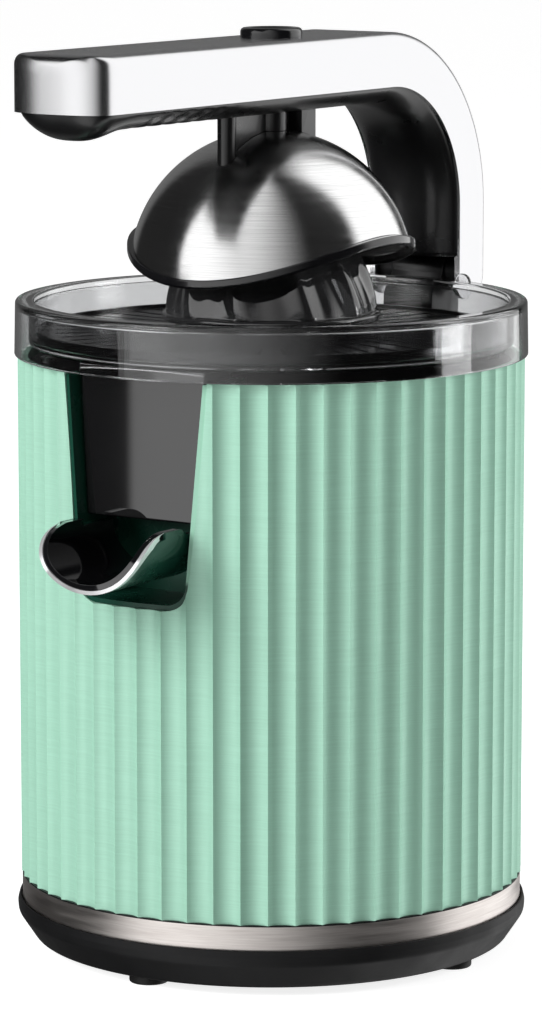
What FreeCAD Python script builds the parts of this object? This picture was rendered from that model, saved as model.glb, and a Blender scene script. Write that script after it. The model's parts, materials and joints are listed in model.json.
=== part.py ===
import FreeCAD, Part
import Sketcher
import math
import os

# A lever-arm citrus press, in millimetres. Z is up, the spout faces -Y and X runs across.
# The origin is on the axis of the round body, on the surface that the feet stand on.

os.makedirs("parts", exist_ok=True)
doc = FreeCAD.newDocument("citrus_press")
sheet = doc.addObject("Spreadsheet::Sheet", "sizes")
nodes = []


# ---------------------------------------------------------------- sizes

class Size:
    """A number that also knows the spreadsheet formula it comes from."""

    def __init__(self, value, formula):
        self.value = value
        self.formula = formula

    def __add__(self, other):
        return Size(self.value + number(other), f"({self.formula} + {formula(other)})")

    def __sub__(self, other):
        return Size(self.value - number(other), f"({self.formula} - {formula(other)})")

    def __mul__(self, other):
        return Size(self.value * number(other), f"({self.formula} * {formula(other)})")

    def __truediv__(self, other):
        return Size(self.value / number(other), f"({self.formula} / {formula(other)})")

    def __neg__(self):
        return Size(-self.value, f"(0 - {self.formula})")

    def __radd__(self, other):
        return self + other

    def __rmul__(self, other):
        return self * other

    def __rsub__(self, other):
        return -self + other


def number(value):
    return value.value if isinstance(value, Size) else float(value)


def formula(value):
    return value.formula if isinstance(value, Size) else f"({float(value)})"


def size(alias, value):
    """Put one driving dimension in the spreadsheet and return it."""
    row = size.rows = size.rows + 1
    sheet.set(f"A{row}", alias)
    sheet.set(f"B{row}", str(value))
    sheet.setAlias(f"B{row}", alias)
    return Size(float(value), f"sizes.{alias}")


size.rows = 0

# feet and base tray
foot_radius = size("foot_radius", 7.0)
foot_height = size("foot_height", 4.5)
foot_circle = size("foot_circle", 77.0)
tray_bottom = size("tray_bottom", 3.0)
tray_floor = size("tray_floor", 6.0)
tray_foot_radius = size("tray_foot_radius", 85.5)
tray_radius = size("tray_radius", 91.9)
tray_ledge = size("tray_ledge", 14.0)
tray_lip = size("tray_lip", 17.5)
# steel band, fluted shell and the housing inside it
band_radius = size("band_radius", 90.2)
band_top = size("band_top", 25.8)
shell_bottom = size("shell_bottom", 26.3)
shell_top = size("shell_top", 213.7)
shell_radius = size("shell_radius", 90.5)
shell_inner_radius = size("shell_inner_radius", 87.0)
flute_depth = size("flute_depth", 1.6)
flute_count = 60
housing_radius = size("housing_radius", 86.8)
housing_wall = size("housing_wall", 2.8)
deck_bottom = size("deck_bottom", 206.5)
deck_top = size("deck_top", 210.5)
# spout recess: a tapered window with round lower corners
window_half_width = size("window_half_width", 29.9)
window_taper = size("window_taper", 0.0868)
window_bottom = size("window_bottom", 134.7)
window_corner = size("window_corner", 9.0)
recess_back = size("recess_back", 60.5)
# gear train
gear_module = 1.0
pinion_teeth = 14
idler_large_teeth = 56
idler_small_teeth = 16
output_teeth = 48
idler_y = size("idler_y", (output_teeth + idler_small_teeth) * gear_module / 2)
motor_y = size("motor_y", number(idler_y) - (pinion_teeth + idler_large_teeth) * gear_module / 2)
gearbox_y = size("gearbox_y", 18.0)
gearbox_radius = size("gearbox_radius", 47.0)
gearbox_bottom = size("gearbox_bottom", 97.0)
gearbox_top = size("gearbox_top", 131.0)
ear_offset = size("ear_offset", 37.5)
# shafts
shaft_radius = size("shaft_radius", 5.0)
shaft_bottom = size("shaft_bottom", 115.5)
shaft_top = size("shaft_top", 262.0)
shoulder_bottom = size("shoulder_bottom", 194.6)
hub_radius = size("hub_radius", 8.0)
hub_top = size("hub_top", 137.0)
running_fit = size("running_fit", 0.06)
motor_radius = size("motor_radius", 32.0)
motor_bottom = size("motor_bottom", 30.0)
motor_top = size("motor_top", 95.0)
motor_shaft_radius = size("motor_shaft_radius", 3.0)
# juice bowl, strainer and reamer
bowl_bottom = size("bowl_bottom", 213.9)
bowl_rim = size("bowl_rim", 233.5)
bowl_radius = size("bowl_radius", 91.6)
bowl_inner_radius = size("bowl_inner_radius", 84.6)
bowl_floor = size("bowl_floor", 217.0)
bowl_wall = size("bowl_wall", 2.0)
chute_front = size("chute_front", 79.8)
chute_bottom = size("chute_bottom", 164.0)
strainer_bottom = size("strainer_bottom", 220.0)
reamer_radius = size("reamer_radius", 39.0)
reamer_bottom = size("reamer_bottom", 226.0)
# spout
spout_half_width = size("spout_half_width", 22.2)
spout_depth = size("spout_depth", 19.1)
spout_centre = size("spout_centre", 160.5)
spout_top = size("spout_top", 163.4)
spout_back = size("spout_back", 70.5)
lip_y = size("lip_y", -97.5)
lip_z = size("lip_z", 146.0)
lip_radius = size("lip_radius", 16.0)
spout_pin_y = size("spout_pin_y", -74.0)
spout_pin_z = size("spout_pin_z", 154.0)
# lever arm
arm_half_width = size("arm_half_width", 19.7)
arm_wall = size("arm_wall", 2.2)
arm_tip = size("arm_tip", 131.5)
arm_under = size("arm_under", 306.3)
arm_top = size("arm_top", 325.9)
bend_y = size("bend_y", 50.0)
bend_z = size("bend_z", 260.0)
column_back = size("column_back", 116.0)
hinge_y = size("hinge_y", 106.15)
hinge_z = size("hinge_z", 234.0)
hinge_pin_radius = size("hinge_pin_radius", 3.0)
barrel_radius = size("barrel_radius", 8.0)
tower_half_width = size("tower_half_width", 11.0)
liner_depth = size("liner_depth", 6.8)
# press dome
dome_radius = size("dome_radius", 50.5)
dome_z = size("dome_z", 242.8)
dome_wall = size("dome_wall", 1.0)
saddle_radius = size("saddle_radius", 96.3)
rim_low = size("rim_low", 244.0)
gasket_height = size("gasket_height", 3.0)
knob_radius = size("knob_radius", 11.0)
knob_top = size("knob_top", 329.4)
# fasteners
ear_corners = ((1, 1), (-1, 1), (-1, -1), (1, -1))
deck_screw_circle = size("deck_screw_circle", 79.5)
deck_screw_angles = (38, 142, 218, 322)
tower_screw_places = ((-6, 165), (6, 165), (-6, 200), (6, 200))
doc.recompute()


# ---------------------------------------------------------------- helpers

UP = FreeCAD.Rotation()
ALONG_X = FreeCAD.Rotation(FreeCAD.Vector(0, 1, 0), 90)
ALONG_Y = FreeCAD.Rotation(FreeCAD.Vector(1, 0, 0), -90)
DOWN = FreeCAD.Rotation(FreeCAD.Vector(1, 0, 0), 180)


def bind(item, path, value):
    item.setExpression(path, formula(value))


def new_body(name):
    return doc.addObject("PartDesign::Body", name)


def new_sketch(body, role, offset=0.0):
    """A sketch on one of the body's own origin planes, moved along its normal."""
    support = [feature for feature in body.Origin.OriginFeatures if feature.Role == role][0]
    sketch = body.newObject("Sketcher::SketchObject", body.Name + "_sketch")
    sketch.AttachmentSupport = [(support, "")]
    sketch.MapMode = "FlatFace"
    bind(sketch, "AttachmentOffset.Base.z", offset)
    return sketch


def draw_outline(sketch, points):
    """A closed outline of straight lines, with each corner's two coordinates bound."""
    count = len(points)
    corners = [FreeCAD.Vector(number(across), number(up), 0) for across, up in points]
    lines = [Part.LineSegment(corners[i], corners[(i + 1) % count]) for i in range(count)]
    sketch.addGeometry(lines, False)
    rules = [Sketcher.Constraint("Coincident", i, 2, (i + 1) % count, 1) for i in range(count)]
    bound = {}
    for line, corner in enumerate(points):
        for axis, kind, value in zip((-2, -1), ("DistanceX", "DistanceY"), corner):
            if number(value) == 0:
                rules.append(Sketcher.Constraint("PointOnObject", line, 1, axis))
            else:
                bound[len(rules)] = value
                rules.append(Sketcher.Constraint(kind, -1, 1, line, 1, number(value)))
    sketch.addConstraint(rules)
    for index, value in bound.items():
        bind(sketch, f"Constraints[{index}]", value)


def draw_circle(sketch, across, up, radius):
    centre = FreeCAD.Vector(number(across), number(up), 0)
    circle = sketch.addGeometry(Part.Circle(centre, FreeCAD.Vector(0, 0, 1), number(radius)), False)
    rule = sketch.addConstraint(Sketcher.Constraint("Radius", circle, number(radius)))
    bind(sketch, f"Constraints[{rule}]", radius)


def pad(body, sketch, length, symmetric=False):
    feature = body.newObject("PartDesign::Pad", body.Name + "_pad")
    feature.Profile = sketch
    feature.SideType = "Symmetric" if symmetric else "One side"
    bind(feature, "Length", length)
    body.Tip = feature
    return feature


def pocket(body, sketch, length):
    """A cut that goes the same way to both sides of its sketch."""
    feature = body.newObject("PartDesign::Pocket", body.Name + "_pocket")
    feature.Profile = sketch
    feature.SideType = "Symmetric"
    bind(feature, "Length", length)
    body.Tip = feature
    return feature


def polar(body, feature, sketch, axis, count):
    """Repeat a feature about one of its sketch's axes: N_Axis or V_Axis."""
    pattern = body.newObject("PartDesign::PolarPattern", body.Name + "_pattern")
    pattern.Originals = [feature]
    pattern.Axis = (sketch, [axis])
    pattern.Angle = 360
    pattern.Occurrences = count
    body.Tip = pattern
    return pattern


def round_edges(body, base, radius, wanted):
    """Fillet the edges of a body's last feature that the wanted() test picks."""
    doc.recompute()
    names = [f"Edge{i + 1}" for i, edge in enumerate(base.Shape.Edges) if wanted(edge)]
    fillet = body.newObject("PartDesign::Fillet", body.Name + "_fillet")
    fillet.Base = (base, names)
    bind(fillet, "Radius", radius)
    body.Tip = fillet
    return fillet


def turned(name, outline):
    """A body turned about Z from an outline of (radius, height) corners."""
    body = new_body(name)
    sketch = new_sketch(body, "XZ_Plane")
    draw_outline(sketch, outline)
    feature = body.newObject("PartDesign::Revolution", name + "_turned")
    feature.Profile = sketch
    feature.ReferenceAxis = (sketch, ["V_Axis"])
    feature.Angle = 360
    body.Tip = feature
    return body


def ring(name, inner, outer, bottom, top):
    return turned(name, [(inner, bottom), (outer, bottom), (outer, top), (inner, top)])


def placed(item, x, y, z, turn=UP):
    item.Placement = FreeCAD.Placement(FreeCAD.Vector(number(x), number(y), number(z)), turn)
    for axis, value in zip("xyz", (x, y, z)):
        bind(item, f"Placement.Base.{axis}", value)
    return item


def cylinder(name, radius, height, x=0.0, y=0.0, z=0.0, turn=UP):
    item = doc.addObject("Part::Cylinder", name)
    bind(item, "Radius", radius)
    bind(item, "Height", height)
    return placed(item, x, y, z, turn)


def block(name, width, depth, height, x, y, z):
    """A box centred on x and y that stands on z."""
    item = doc.addObject("Part::Box", name)
    bind(item, "Length", width)
    bind(item, "Width", depth)
    bind(item, "Height", height)
    return placed(item, x - width / 2, y - depth / 2, z)


def ball(name, radius, z):
    item = doc.addObject("Part::Sphere", name)
    bind(item, "Radius", radius)
    return placed(item, 0.0, 0.0, z)


def fuse(name, *pieces):
    item = doc.addObject("Part::MultiFuse", name)
    item.Shapes = list(pieces)
    item.Refine = True
    return item


def cut(name, base, *tools):
    item = doc.addObject("Part::Cut", name)
    item.Base = base
    item.Tool = tools[0] if len(tools) == 1 else fuse(name + "_tools", *tools)
    return item


def common(name, first, second):
    item = doc.addObject("Part::Common", name)
    item.Base = first
    item.Tool = second
    return item


def group(name, pieces):
    """Identical separate pieces that share one node."""
    item = doc.addObject("Part::Compound", name)
    item.Links = pieces
    return item


def keep(item, label):
    """Register a finished sub-part under the name its file gets."""
    item.Label = label
    nodes.append(item)


def screw(name, radius, head_radius, head, length, x, y, z, turn=UP):
    """A screw that points along its turn, with its head's outer face at x, y, z."""
    step = turn.multVec(FreeCAD.Vector(0, 0, 1))
    shank = cylinder(name + "_shank", radius, length, x, y, z, turn)
    top = cylinder(name + "_head", head_radius, head, x, y, z, turn)
    socket = cylinder(name + "_socket", head_radius / 2, head / 2,
                      x - step.x / 100, y - step.y / 100, z - step.z / 100, turn)
    return cut(name, fuse(name + "_blank", shank, top), socket)


def around(radius, degrees):
    angle = math.radians(degrees)
    return radius * math.cos(angle), radius * math.sin(angle)


def gear_points(teeth, phase):
    """An involute spur gear's outline; one tooth points at the phase angle."""
    pressure = math.radians(20)
    pitch = teeth * gear_module / 2
    base = pitch * math.cos(pressure)
    root = pitch - 1.2 * gear_module
    tip = pitch + 0.85 * gear_module
    backlash = 0.09
    half_tooth = math.pi / (2 * teeth) - backlash / pitch
    involute = math.tan(pressure) - pressure
    flank = []
    for step in range(5):
        radius = max(base, root) + (tip - max(base, root)) * step / 4
        roll = math.acos(min(1.0, base / radius))
        flank.append((radius, half_tooth + involute - math.tan(roll) + roll))
    if base > root:
        flank.insert(0, (root, flank[0][1]))
    points = []
    for tooth in range(teeth):
        middle = math.radians(phase) + 2 * math.pi * tooth / teeth
        for radius, angle in flank:
            points.append((radius, middle - angle))
        for radius, angle in reversed(flank):
            points.append((radius, middle + angle))
    return [(radius * math.cos(angle), radius * math.sin(angle)) for radius, angle in points]


def gear(name, teeth, phase, y, bottom, thickness, bore):
    """A spur gear on an axis at y, standing on bottom."""
    body = new_body(name)
    sketch = new_sketch(body, "XY_Plane", bottom)
    corners = [FreeCAD.Vector(across, up + number(y), 0) for across, up in gear_points(teeth, phase)]
    lines = [Part.LineSegment(corner, corners[(i + 1) % len(corners)])
             for i, corner in enumerate(corners)]
    sketch.addGeometry(lines, False)
    sketch.addGeometry(Part.Circle(FreeCAD.Vector(0, number(y), 0), FreeCAD.Vector(0, 0, 1),
                                   number(bore)), False)
    pad(body, sketch, thickness)
    return body


def coil(name, radius, wire, bottom, top, turns):
    """A helical compression spring standing on bottom."""
    height = number(top) - number(bottom) - 2 * number(wire)
    path = Part.makeLongHelix(height / turns, height, number(radius))
    section = Part.Wire(Part.makeCircle(number(wire), FreeCAD.Vector(number(radius), 0, 0),
                                        FreeCAD.Vector(0, 1, 0)))
    item = doc.addObject("Part::Feature", name)
    item.Shape = Part.Wire(path).makePipeShell([section], True, True)
    item.Placement = FreeCAD.Placement(FreeCAD.Vector(0, 0, number(bottom) + number(wire)), UP)
    return item


# ---------------------------------------------------------------- base

def make_base():
    tray = turned("tray_dish", [
        (0, tray_bottom), (tray_foot_radius, tray_bottom), (tray_radius - 0.2, 12.3),
        (tray_radius, 15.0), (tray_radius - 0.6, tray_lip), (band_radius + 0.3, tray_lip),
        (band_radius + 0.3, tray_ledge), (84.0, tray_ledge), (84.0, 12.0), (83.0, tray_floor),
        (0, tray_floor)])
    slot = new_sketch(tray, "XY_Plane", tray_bottom)
    draw_outline(slot, [(22.0, -2.0), (52.0, -2.0), (52.0, 2.0), (22.0, 2.0)])
    polar(tray, pocket(tray, slot, 12.0), slot, "N_Axis", 12)
    bosses = []
    holes = []
    screws = []
    posts = []
    for index, degrees in enumerate((45, 135, 225, 315)):
        x, y = around(foot_circle, degrees)
        bosses.append(cylinder(f"tray_boss_{index}", 5.5, 3.0, x, y, tray_floor))
        holes.append(cylinder(f"tray_hole_{index}", 1.6, 10.0, x, y, tray_bottom - 1))
        holes.append(cylinder(f"tray_head_hole_{index}", 3.6, 3.5, x, y, tray_bottom - 1))
        screws.append(screw(f"base_screw_{index}", 1.5, 3.2, 2.0, 18.0, x, y, tray_bottom + 0.4))
        posts.append((x, y))
    for index, name in enumerate(("right_foot", "back_foot", "left_foot", "front_foot")):
        x, y = around(foot_circle, 90 * index)
        holes.append(cylinder(f"foot_pocket_{index}", foot_radius + 0.1, 1.5, x, y, tray_bottom))
        foot = cylinder(f"foot_disc_{index}", foot_radius, foot_height - 0.05, x, y, 0.0)
        keep(foot, name)
    keep(cut("base_tray", fuse("tray_blank", tray, *bosses), *holes), "base_tray")
    keep(group("base_screws", screws), "base_screws")
    keep(ring("steel_band", band_radius - 0.8, band_radius, tray_ledge + 0.1, band_top), "steel_band")
    keep(ring("shell_gasket", shell_inner_radius + 0.2, band_radius - 0.1, band_top, shell_bottom),
         "shell_gasket")
    return posts


# ---------------------------------------------------------------- shell, housing and recess

def recess_block(name, inset, near, far, top):
    """The tapered recess as a solid, inset on its sides and floor, from y=-near to y=-far."""
    floor = window_bottom + inset
    low = window_half_width - inset - window_taper * (shell_top - floor)
    high = window_half_width - inset + window_taper * (top - shell_top)
    body = new_body(name)
    sketch = new_sketch(body, "XZ_Plane", near)
    draw_outline(sketch, [(-low, floor), (low, floor), (high, top), (-high, top)])
    solid = pad(body, sketch, far - near)

    def lower_corner(edge):
        middle = edge.BoundBox.Center
        along_y = edge.BoundBox.YLength > 1
        return along_y and abs(middle.z - number(floor)) < 0.01 and edge.BoundBox.XLength < 0.01

    round_edges(body, solid, window_corner - inset, lower_corner)
    return body


def fluted_ring():
    """A tube whose outside is a ring of shallow hollow flutes with sharp ridges."""
    body = new_body("fluted_tube")
    sketch = new_sketch(body, "XY_Plane", shell_bottom)
    draw_circle(sketch, 0, 0, shell_inner_radius)
    ridge = number(shell_radius)
    hollow = ridge * math.cos(math.pi / flute_count) - number(flute_depth)
    step = 360 / flute_count
    for flute in range(flute_count):
        middle = 90 + step * flute
        start, low, end = [
            FreeCAD.Vector(*around(radius, angle), 0)
            for radius, angle in ((ridge, middle - step / 2), (hollow, middle), (ridge, middle + step / 2))]
        sketch.addGeometry(Part.Arc(start, low, end), False)
    pad(body, sketch, shell_top - shell_bottom)
    return body


def make_shell():
    window = recess_block("shell_window", 0.0, recess_back, 96.0, shell_top + 2)
    rear_slot = block("rear_slot", 24.0, 20.0, 70.0, 0.0, 88.0, 149.0)
    gland_hole = cylinder("shell_gland_hole", 6.0, 20.0, 0.0, 78.0, 42.0, ALONG_Y)
    keep(cut("fluted_shell", fluted_ring(), window, rear_slot, gland_hole), "fluted_shell")


def deck_notch(name):
    """The room that the housing and its deck leave for the spout recess."""
    return block(name, 64.0, 40.0, 90.0, 0.0, -80.0, window_bottom - 2.2)


def make_housing(base_posts):
    inner = housing_radius - housing_wall
    adds = [ring("housing_drum", inner, housing_radius, tray_ledge + 0.05, deck_bottom - 0.05)]
    cuts = [deck_notch("housing_notch"),
            cylinder("housing_gland_hole", 6.0, 20.0, 0.0, 78.0, 42.0, ALONG_Y)]
    for index, (x, y) in enumerate(base_posts):
        adds.append(cylinder(f"base_post_{index}", 5.0, 45.0, x, y, tray_floor + 3.1))
        adds.append(block(f"post_rib_{index}", 5.0, 5.0, 34.0, x * 1.07, y * 1.07, 20.0))
        cuts.append(cylinder(f"base_pilot_{index}", 1.55, 16.0, x, y, tray_floor + 1))
    for index, degrees in enumerate(deck_screw_angles):
        x, y = around(deck_screw_circle, degrees)
        adds.append(cylinder(f"deck_boss_{index}", 5.0, 16.0, x, y, deck_bottom - 16.05))
        cuts.append(cylinder(f"deck_pilot_{index}", 1.55, 16.0, x, y, deck_bottom - 14))
    for index, (x, z) in enumerate(tower_screw_places):
        cuts.append(cylinder(f"tower_hole_{index}", 2.2, 10.0, x, 80.0, z, ALONG_Y))
    keep(cut("inner_housing", fuse("housing_blank", *adds), *cuts), "inner_housing")


def make_deck():
    adds = [turned("deck_plate", [
        (9.0, deck_bottom - 7), (12.0, deck_bottom - 7), (12.0, deck_bottom),
        (housing_radius, deck_bottom), (housing_radius, deck_top), (12.0, deck_top),
        (12.0, deck_top + 4), (9.0, deck_top + 4)])]
    cuts = [deck_notch("plate_notch")]
    screws = []
    for index, (side, row) in enumerate(ear_corners):
        x = ear_offset * side
        y = gearbox_y + ear_offset * row
        adds.append(cylinder(f"gearbox_post_{index}", 6.0, deck_bottom - gearbox_top - 5, x, y,
                             gearbox_top + 5.05))
        cuts.append(cylinder(f"gearbox_pilot_{index}", 2.05, 15.0, x, y, gearbox_top + 4))
    for index, degrees in enumerate(deck_screw_angles):
        x, y = around(deck_screw_circle, degrees)
        cuts.append(cylinder(f"deck_hole_{index}", 1.7, 8.0, x, y, deck_bottom - 2))
        screws.append(screw(f"deck_screw_{index}", 1.5, 3.0, 2.0, 15.0, x, y, deck_top + 2.05, DOWN))
    keep(cut("top_deck", fuse("deck_blank", *adds), *cuts), "top_deck")
    keep(group("deck_screws", screws), "deck_screws")


def make_recess():
    outer = recess_block("recess_outer", 0.2, recess_back, 90.0, shell_top - 0.6)
    inner = recess_block("recess_inner", 1.8, recess_back + 1.7, 96.0, shell_top + 3)
    trim = cylinder("recess_trim", 88.4, 120.0, 0.0, 0.0, 120.0)
    pins = cylinder("recess_pin_hole", 1.55, 60.0, -30.0, spout_pin_y, spout_pin_z, ALONG_X)
    keep(common("spout_recess", cut("recess_shell", outer, inner, pins), trim), "spout_recess")


# ---------------------------------------------------------------- drive

def make_gearbox():
    wall = 2.0
    plate = cylinder("gearbox_plate", gearbox_radius, 3.5, 0.0, gearbox_y, gearbox_bottom)
    holes = [cylinder("pinion_hole", 8.5, 5.0, 0.0, motor_y, gearbox_bottom - 1),
             cylinder("base_axle_hole", 3.02, 6.0, 0.0, idler_y, gearbox_bottom - 1)]
    for side in (-1, 1):
        holes.append(cylinder("motor_screw_hole", 1.6, 5.0, 14.0 * side, motor_y, gearbox_bottom - 1))
    keep(cut("gearbox_base", plate, *holes), "gearbox_base")

    height = gearbox_top - gearbox_bottom - 3.55
    drum = cylinder("gearbox_drum", gearbox_radius, height, 0.0, gearbox_y, gearbox_bottom + 3.55)
    hollow = cylinder("gearbox_hollow", gearbox_radius - wall, height - 3.5, 0.0, gearbox_y,
                      gearbox_bottom + 3.55)
    adds = [drum, cylinder("bush_boss", 14.0, hub_top - gearbox_top, 0.0, 0.0, gearbox_top)]
    cuts = [hollow, cylinder("bush_bore", 11.02, 20.0, 0.0, 0.0, gearbox_top - 10),
            cylinder("cover_axle_hole", 3.02, 4.0, 0.0, idler_y, gearbox_top - 4.5)]
    mounts = []
    screws = []
    for index, (side, row) in enumerate(ear_corners):
        x = ear_offset * side
        y = gearbox_y + ear_offset * row
        adds.append(cylinder(f"ear_{index}", 7.0, 4.0, x, y, gearbox_top - 4))
        cuts.append(cylinder(f"ear_hole_{index}", 2.1, 8.0, x, y, gearbox_top - 6))
        mounts.append(cut(f"mount_{index}",
                          cylinder(f"mount_rubber_{index}", 6.0, 5.0, x, y, gearbox_top + 0.02),
                          cylinder(f"mount_bore_{index}", 2.1, 7.0, x, y, gearbox_top - 1)))
        screws.append(screw(f"gearbox_screw_{index}", 2.0, 3.8, 2.6, 21.0, x, y, gearbox_top - 6.65))
    keep(cut("gearbox_cover", fuse("cover_blank", *adds), *cuts), "gearbox_cover")
    keep(group("vibration_mounts", mounts), "vibration_mounts")
    keep(group("gearbox_screws", screws), "gearbox_screws")
    keep(ring("output_bush", hub_radius + running_fit, 11.0, gearbox_top - 3.4, hub_top - 0.1),
         "output_bush")
    keep(cylinder("idler_axle", 3.0, 31.5, 0.0, idler_y, gearbox_bottom + 1), "idler_axle")


def make_gears():
    large = gear("idler_large", idler_large_teeth, 270 + 180 / idler_large_teeth, idler_y,
                 gearbox_bottom + 5.5, 8.0, motor_shaft_radius + running_fit)
    small = gear("idler_small", idler_small_teeth, 270 + 180 / idler_small_teeth, idler_y,
                 gearbox_bottom + 13.5, 12.5, motor_shaft_radius + running_fit)
    keep(fuse("idler_gear", large, small), "idler_gear")

    wheel = gear("output_wheel", output_teeth, 90, 0.0, gearbox_bottom + 15.5, 9.5,
                 shaft_radius + running_fit)
    hub_bottom = gearbox_bottom + 15.5
    hub = ring("output_hub", shaft_radius + running_fit, hub_radius, hub_bottom, hub_top)
    keep(fuse("output_gear", wheel, hub), "output_gear")

    pinion = gear("motor_pinion", pinion_teeth, 90, motor_y, gearbox_bottom + 5, 9.0,
                  motor_shaft_radius + 0.01)
    keep(pinion, "motor_pinion")


def make_motor():
    wall = 1.6
    can = cylinder("can_outer", motor_radius, motor_top - motor_bottom, 0.0, motor_y, motor_bottom)
    hollow = cylinder("can_inner", motor_radius - wall, motor_top - motor_bottom - 2, 0.0, motor_y,
                      motor_bottom)
    can_holes = [hollow, cylinder("can_shaft_hole", 6.02, 8.0, 0.0, motor_y, motor_top - 4)]
    screws = []
    for index, side in enumerate((-1, 1)):
        x = 14.0 * side
        can_holes.append(cylinder(f"can_screw_hole_{index}", 1.55, 8.0, x, motor_y, motor_top - 4))
        screws.append(screw(f"motor_screw_{index}", 1.5, 2.8, 1.6, 9.0, x, motor_y,
                            gearbox_bottom + 5.15, DOWN))
    keep(cut("motor_can", can, *can_holes), "motor_can")
    keep(group("motor_screws", screws), "motor_screws")

    cap = cylinder("cap_disc", motor_radius - wall - 0.05, 3.0, 0.0, motor_y, motor_bottom + 0.1)
    cap_hole = cylinder("cap_hole", 6.02, 8.0, 0.0, motor_y, motor_bottom - 2)
    keep(cut("motor_end_cap", cap, cap_hole), "motor_end_cap")

    bushes = []
    for index, z in enumerate((motor_bottom + 0.1, motor_top - 2.5)):
        height = 3.0 if index == 0 else 4.4
        bushes.append(cut(f"motor_bush_{index}",
                          cylinder(f"bush_outer_{index}", 6.0, height, 0.0, motor_y, z),
                          cylinder(f"bush_inner_{index}", motor_shaft_radius + running_fit, 9.0, 0.0,
                                   motor_y, z - 2)))
    keep(group("motor_bushes", bushes), "motor_bushes")

    magnet_ring = cut("magnet_ring",
                      cylinder("magnet_outer", motor_radius - wall - 0.05, 42.0, 0.0, motor_y, 42.0),
                      cylinder("magnet_inner", 22.0, 50.0, 0.0, motor_y, 40.0))
    gap = block("magnet_gap", 14.0, 80.0, 60.0, 0.0, motor_y, 35.0)
    keep(cut("stator_magnets", magnet_ring, gap), "stator_magnets")

    rotor = [cylinder("rotor_shaft", motor_shaft_radius, 90.0, 0.0, motor_y, 21.5),
             cylinder("rotor_core", 20.8, 36.0, 0.0, motor_y, 45.0),
             cylinder("rotor_commutator", 9.0, 6.0, 0.0, motor_y, 84.5)]
    keep(fuse("motor_rotor", *rotor), "motor_rotor")

    fan = [cut("fan_hub", cylinder("fan_disc", 24.0, 1.6, 0.0, motor_y, 26.0),
               cylinder("fan_bore", motor_shaft_radius + 0.01, 9.0, 0.0, motor_y, 20.0))]
    for index in range(8):
        blade = doc.addObject("Part::Box", f"fan_blade_{index}")
        bind(blade, "Length", 15.0)
        bind(blade, "Width", 1.2)
        bind(blade, "Height", 4.6)
        turn = FreeCAD.Rotation(FreeCAD.Vector(0, 0, 1), 45 * index)
        start = turn.multVec(FreeCAD.Vector(8.0, 0.0, 0.0))
        fan.append(placed(blade, start.x, motor_y + start.y, 21.5, turn))
    keep(fuse("cooling_fan", *fan), "cooling_fan")


def make_shaft():
    keep(turned("drive_shaft", [
        (0, shaft_bottom), (shaft_radius, shaft_bottom), (shaft_radius, shoulder_bottom),
        (8.0, shoulder_bottom), (8.0, shoulder_bottom + 2.4), (shaft_radius, shoulder_bottom + 2.4),
        (shaft_radius, shaft_top - 1.5), (shaft_radius - 1.5, shaft_top), (0, shaft_top)]),
        "drive_shaft")
    bush_bottom = deck_bottom - 6.5
    keep(ring("shaft_bush", shaft_radius + running_fit, 8.94, bush_bottom, bush_bottom + 11),
         "shaft_bush")
    keep(ring("shaft_seal", shaft_radius + 0.08, 8.94, bush_bottom + 11.1, bush_bottom + 14),
         "shaft_seal")
    collar = cylinder("collar_disc", 12.0, 4.0, 0.0, 0.0, shoulder_bottom - 4.1)
    tab = block("collar_tab", 20.0, 7.0, 4.0, 16.0, 0.0, shoulder_bottom - 4.1)
    bore = cylinder("collar_bore", shaft_radius + running_fit, 12.0, 0.0, 0.0, shoulder_bottom - 8)
    keep(cut("thrust_collar", fuse("collar_blank", collar, tab), bore), "thrust_collar")
    keep(coil("return_spring", 8.6, 0.8, hub_top + 0.3, shoulder_bottom - 4.3, 8), "return_spring")


def make_switch():
    body = block("switch_case", 16.0, 10.0, 14.0, 23.0, 0.0, 170.0)
    well = block("switch_well", 4.6, 3.8, 8.0, 22.0, 0.0, 177.0)
    keep(cut("micro_switch", body, well), "micro_switch")
    keep(block("switch_button", 4.0, 3.2, 10.1, 22.0, 0.0, 180.2), "switch_button")
    keep(block("switch_bracket", 2.0, 16.0, deck_bottom - 168.05, 32.1, 0.0, 168.0), "switch_bracket")
    terminal_y = 62.0
    terminal = block("terminal_body", 30.0, 14.0, 11.0, 0.0, terminal_y, tray_floor + 0.05)
    wells = [cylinder(f"terminal_well_{side}", 2.4, 6.0, 9.0 * side, terminal_y, tray_floor + 6)
             for side in (-1, 0, 1)]
    keep(cut("terminal_block", terminal, *wells), "terminal_block")
    gland = fuse("gland_blank", cylinder("gland_neck", 5.9, 11.0, 0.0, 81.5, 42.0, ALONG_Y),
                 cylinder("gland_flange", 8.0, 2.4, 0.0, 90.7, 42.0, ALONG_Y),
                 cylinder("gland_nut", 8.0, 3.0, 0.0, 80.4, 42.0, ALONG_Y))
    bore = cylinder("gland_bore", 3.2, 20.0, 0.0, 78.0, 42.0, ALONG_Y)
    keep(cut("cable_gland", gland, bore), "cable_gland")


# ---------------------------------------------------------------- bowl, strainer, reamer

def chute_block(name, inset, bottom, top):
    """The tapered juice chute as a solid, inset on its four sides."""
    slope = 0.052
    low = 26.2 - inset - slope * (shell_top - bottom)
    high = 26.2 - inset - slope * (shell_top - top)
    body = new_body(name)
    sketch = new_sketch(body, "XZ_Plane", 63.5 + inset)
    draw_outline(sketch, [(-low, bottom), (low, bottom), (high, top), (-high, top)])
    pad(body, sketch, chute_front - 63.5 - 2 * inset)
    return body


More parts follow.
